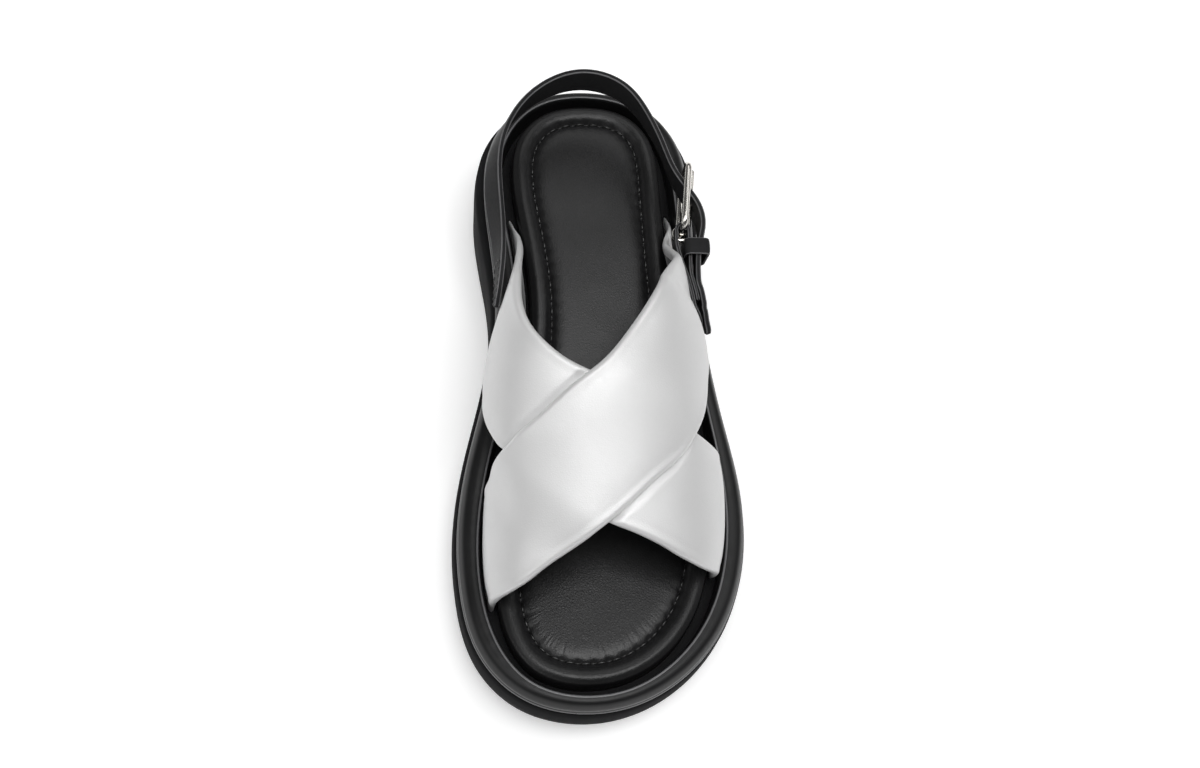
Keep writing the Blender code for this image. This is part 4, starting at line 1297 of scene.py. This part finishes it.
def leather(name):
    """Cloudy tone, uneven gloss, and pebbles under fine pores."""
    low, high, blue, metallic, roughness, gloss, pebble, depth = LEATHERS[name]
    dark = (low, low, low * blue)
    light = (high, high, high * blue)
    mat, spot = new_material(name, light, roughness, gloss, metallic)
    cloud = noise_node(mat, spot, scale=45.0, detail=3.0)
    vary_tone(mat, ranged(mat, cloud, *CLOUD_SPAN, 0.0, 1.0), dark, light)
    fine = noise_node(mat, spot, scale=900.0, detail=4.0)
    vary_gloss(mat, fine, FINE_SPAN, smooth=roughness - 0.05, rough=roughness + 0.07)
    first = bump(mat, grain_node(mat, spot, pebble), strength=0.5, distance=depth)
    bump(mat, fine, strength=0.35, distance=depth * 0.6, before=first)
    return mat


def rubber(name, tone):
    mat, spot = new_material(name, tone, roughness=0.65, gloss=0.02)
    cloud = noise_node(mat, spot, scale=60.0, detail=3.0)
    vary_gloss(mat, cloud, CLOUD_SPAN, smooth=0.58, rough=0.72)
    vary_tone(mat, cloud, scaled(tone, 0.8), scaled(tone, 1.25))
    bump(mat, noise_node(mat, spot, scale=1600.0, detail=2.0), strength=0.4, distance=0.00004)
    return mat


def cloth(name, tone):
    mat, spot = new_material(name, tone, roughness=0.9)
    shader_inputs(mat)["Sheen Weight"].default_value = 0.25
    fine = noise_node(mat, spot, scale=2200.0, detail=2.0)
    vary_tone(mat, fine, scaled(tone, 0.7), scaled(tone, 1.3))
    bump(mat, fine, strength=0.5, distance=0.00006)
    return mat


def thread(name, tone):
    mat, spot = new_material(name, tone, roughness=0.32, gloss=0.6)
    twist = noise_node(mat, spot, scale=2600.0, detail=1.0)
    vary_tone(mat, twist, scaled(tone, 0.55), scaled(tone, 1.3))
    bump(mat, twist, strength=0.6, distance=0.00008)
    return mat


def nickel(name, tone):
    mat, spot = new_material(name, tone, roughness=0.16, metallic=1.0)
    cloud = noise_node(mat, spot, scale=300.0, detail=4.0)
    vary_gloss(mat, cloud, CLOUD_SPAN, smooth=0.1, rough=0.24)
    bump(mat, noise_node(mat, spot, scale=1500.0, detail=2.0), strength=0.08, distance=0.00002)
    return mat


def build_floor():
    mat, spot = new_material("floor_paint", FLOOR_TONE, roughness=0.9, gloss=0.1)
    vary_tone(mat, noise_node(mat, spot, scale=1.2, detail=2.0), FLOOR_DARK, FLOOR_LIGHT)
    shader_inputs(mat)["Emission Color"].default_value = WHITE
    away = add_node(mat, "ShaderNodeVectorMath", {}, {0: spot}, operation="LENGTH").outputs["Value"]
    feed(mat, ranged(mat, away, *FLOOR_GLOW), "Emission Strength")
    mesh = bpy.data.meshes.new("floor")
    corners = [(-sx * FLOOR_HALF, -sy * FLOOR_HALF, 0.0) for sx, sy, start in CORNERS]
    mesh.from_pydata(corners, [], [[0, 1, 2, 3]])
    mesh.materials.append(mat)
    floor = add_object("floor", mesh)


def build_lights():
    for name, (x, y, z, size, watts) in LIGHTS.items():
        data = bpy.data.lights.new(name, "AREA")
        data.shape = "DISK"
        data.size = size
        data.energy = watts
        lamp = add_object(name, data)
        lamp.location = (x, y, z)
        lamp.rotation_mode = "QUATERNION"
        lamp.rotation_quaternion = (Vector(LIGHT_AIM) - lamp.location).to_track_quat("-Z", "Y")
    world = bpy.data.worlds.new("studio")
    world.use_nodes = True
    way = world.node_tree.nodes.new("ShaderNodeTexCoord").outputs["Generated"]
    height = add_node(world, "ShaderNodeSeparateXYZ", {}, {"Vector": way}).outputs["Z"]
    sky = world.node_tree.nodes["Background"]
    sky.inputs["Color"].default_value = WHITE
    world.node_tree.links.new(ranged(world, height, *SKY_GLOW), sky.inputs["Strength"])
    bpy.context.scene.world = world
    bpy.context.scene.view_settings.view_transform = "Standard"


def build_camera():
    data = bpy.data.cameras.new("photo_camera")
    data.sensor_width = SENSOR
    data.lens = SENSOR * PHOTO_FOCUS * ZOOM / PHOTO_WIDE
    camera = add_object("photo_camera", data)
    turn = Matrix.Rotation(math.radians(CAMERA_PITCH), 4, "X")
    turn = turn @ Matrix.Rotation(-math.atan(AIM[0] / PHOTO_FOCUS), 4, "Y")
    turn = turn @ Matrix.Rotation(-math.atan(AIM[1] / PHOTO_FOCUS), 4, "X")
    camera.matrix_world = Matrix.Translation(Vector((np.array(CAMERA_SPOT) + SHIFT) * MM)) @ turn
    bpy.context.scene.camera = camera


def build_shoe():
    # a lighter leather that paints the highlight lines along the strips' corners and the rim's bead and lip
    edge = leather("painted_edge_highlight")
    strip = [leather("strap_leather"), edge]
    stitches = thread("dark_thread", THREAD_TONE)
    build_outsole(rubber("outsole_rubber", RUBBER_TONE))
    build_rim([leather("rim_leather"), edge])
    build_insole(leather("insole_leather"))
    build_seam(stitches)
    build_upper([leather("silver_leather"), cloth("black_lining", LINING_TONE)])
    build_strap(strip, stitches)
    build_tab(strip)
    build_keeper(strip)
    build_buckle(nickel("nickel", NICKEL_TONE))


build_camera()
build_lights()
build_floor()
build_shoe()
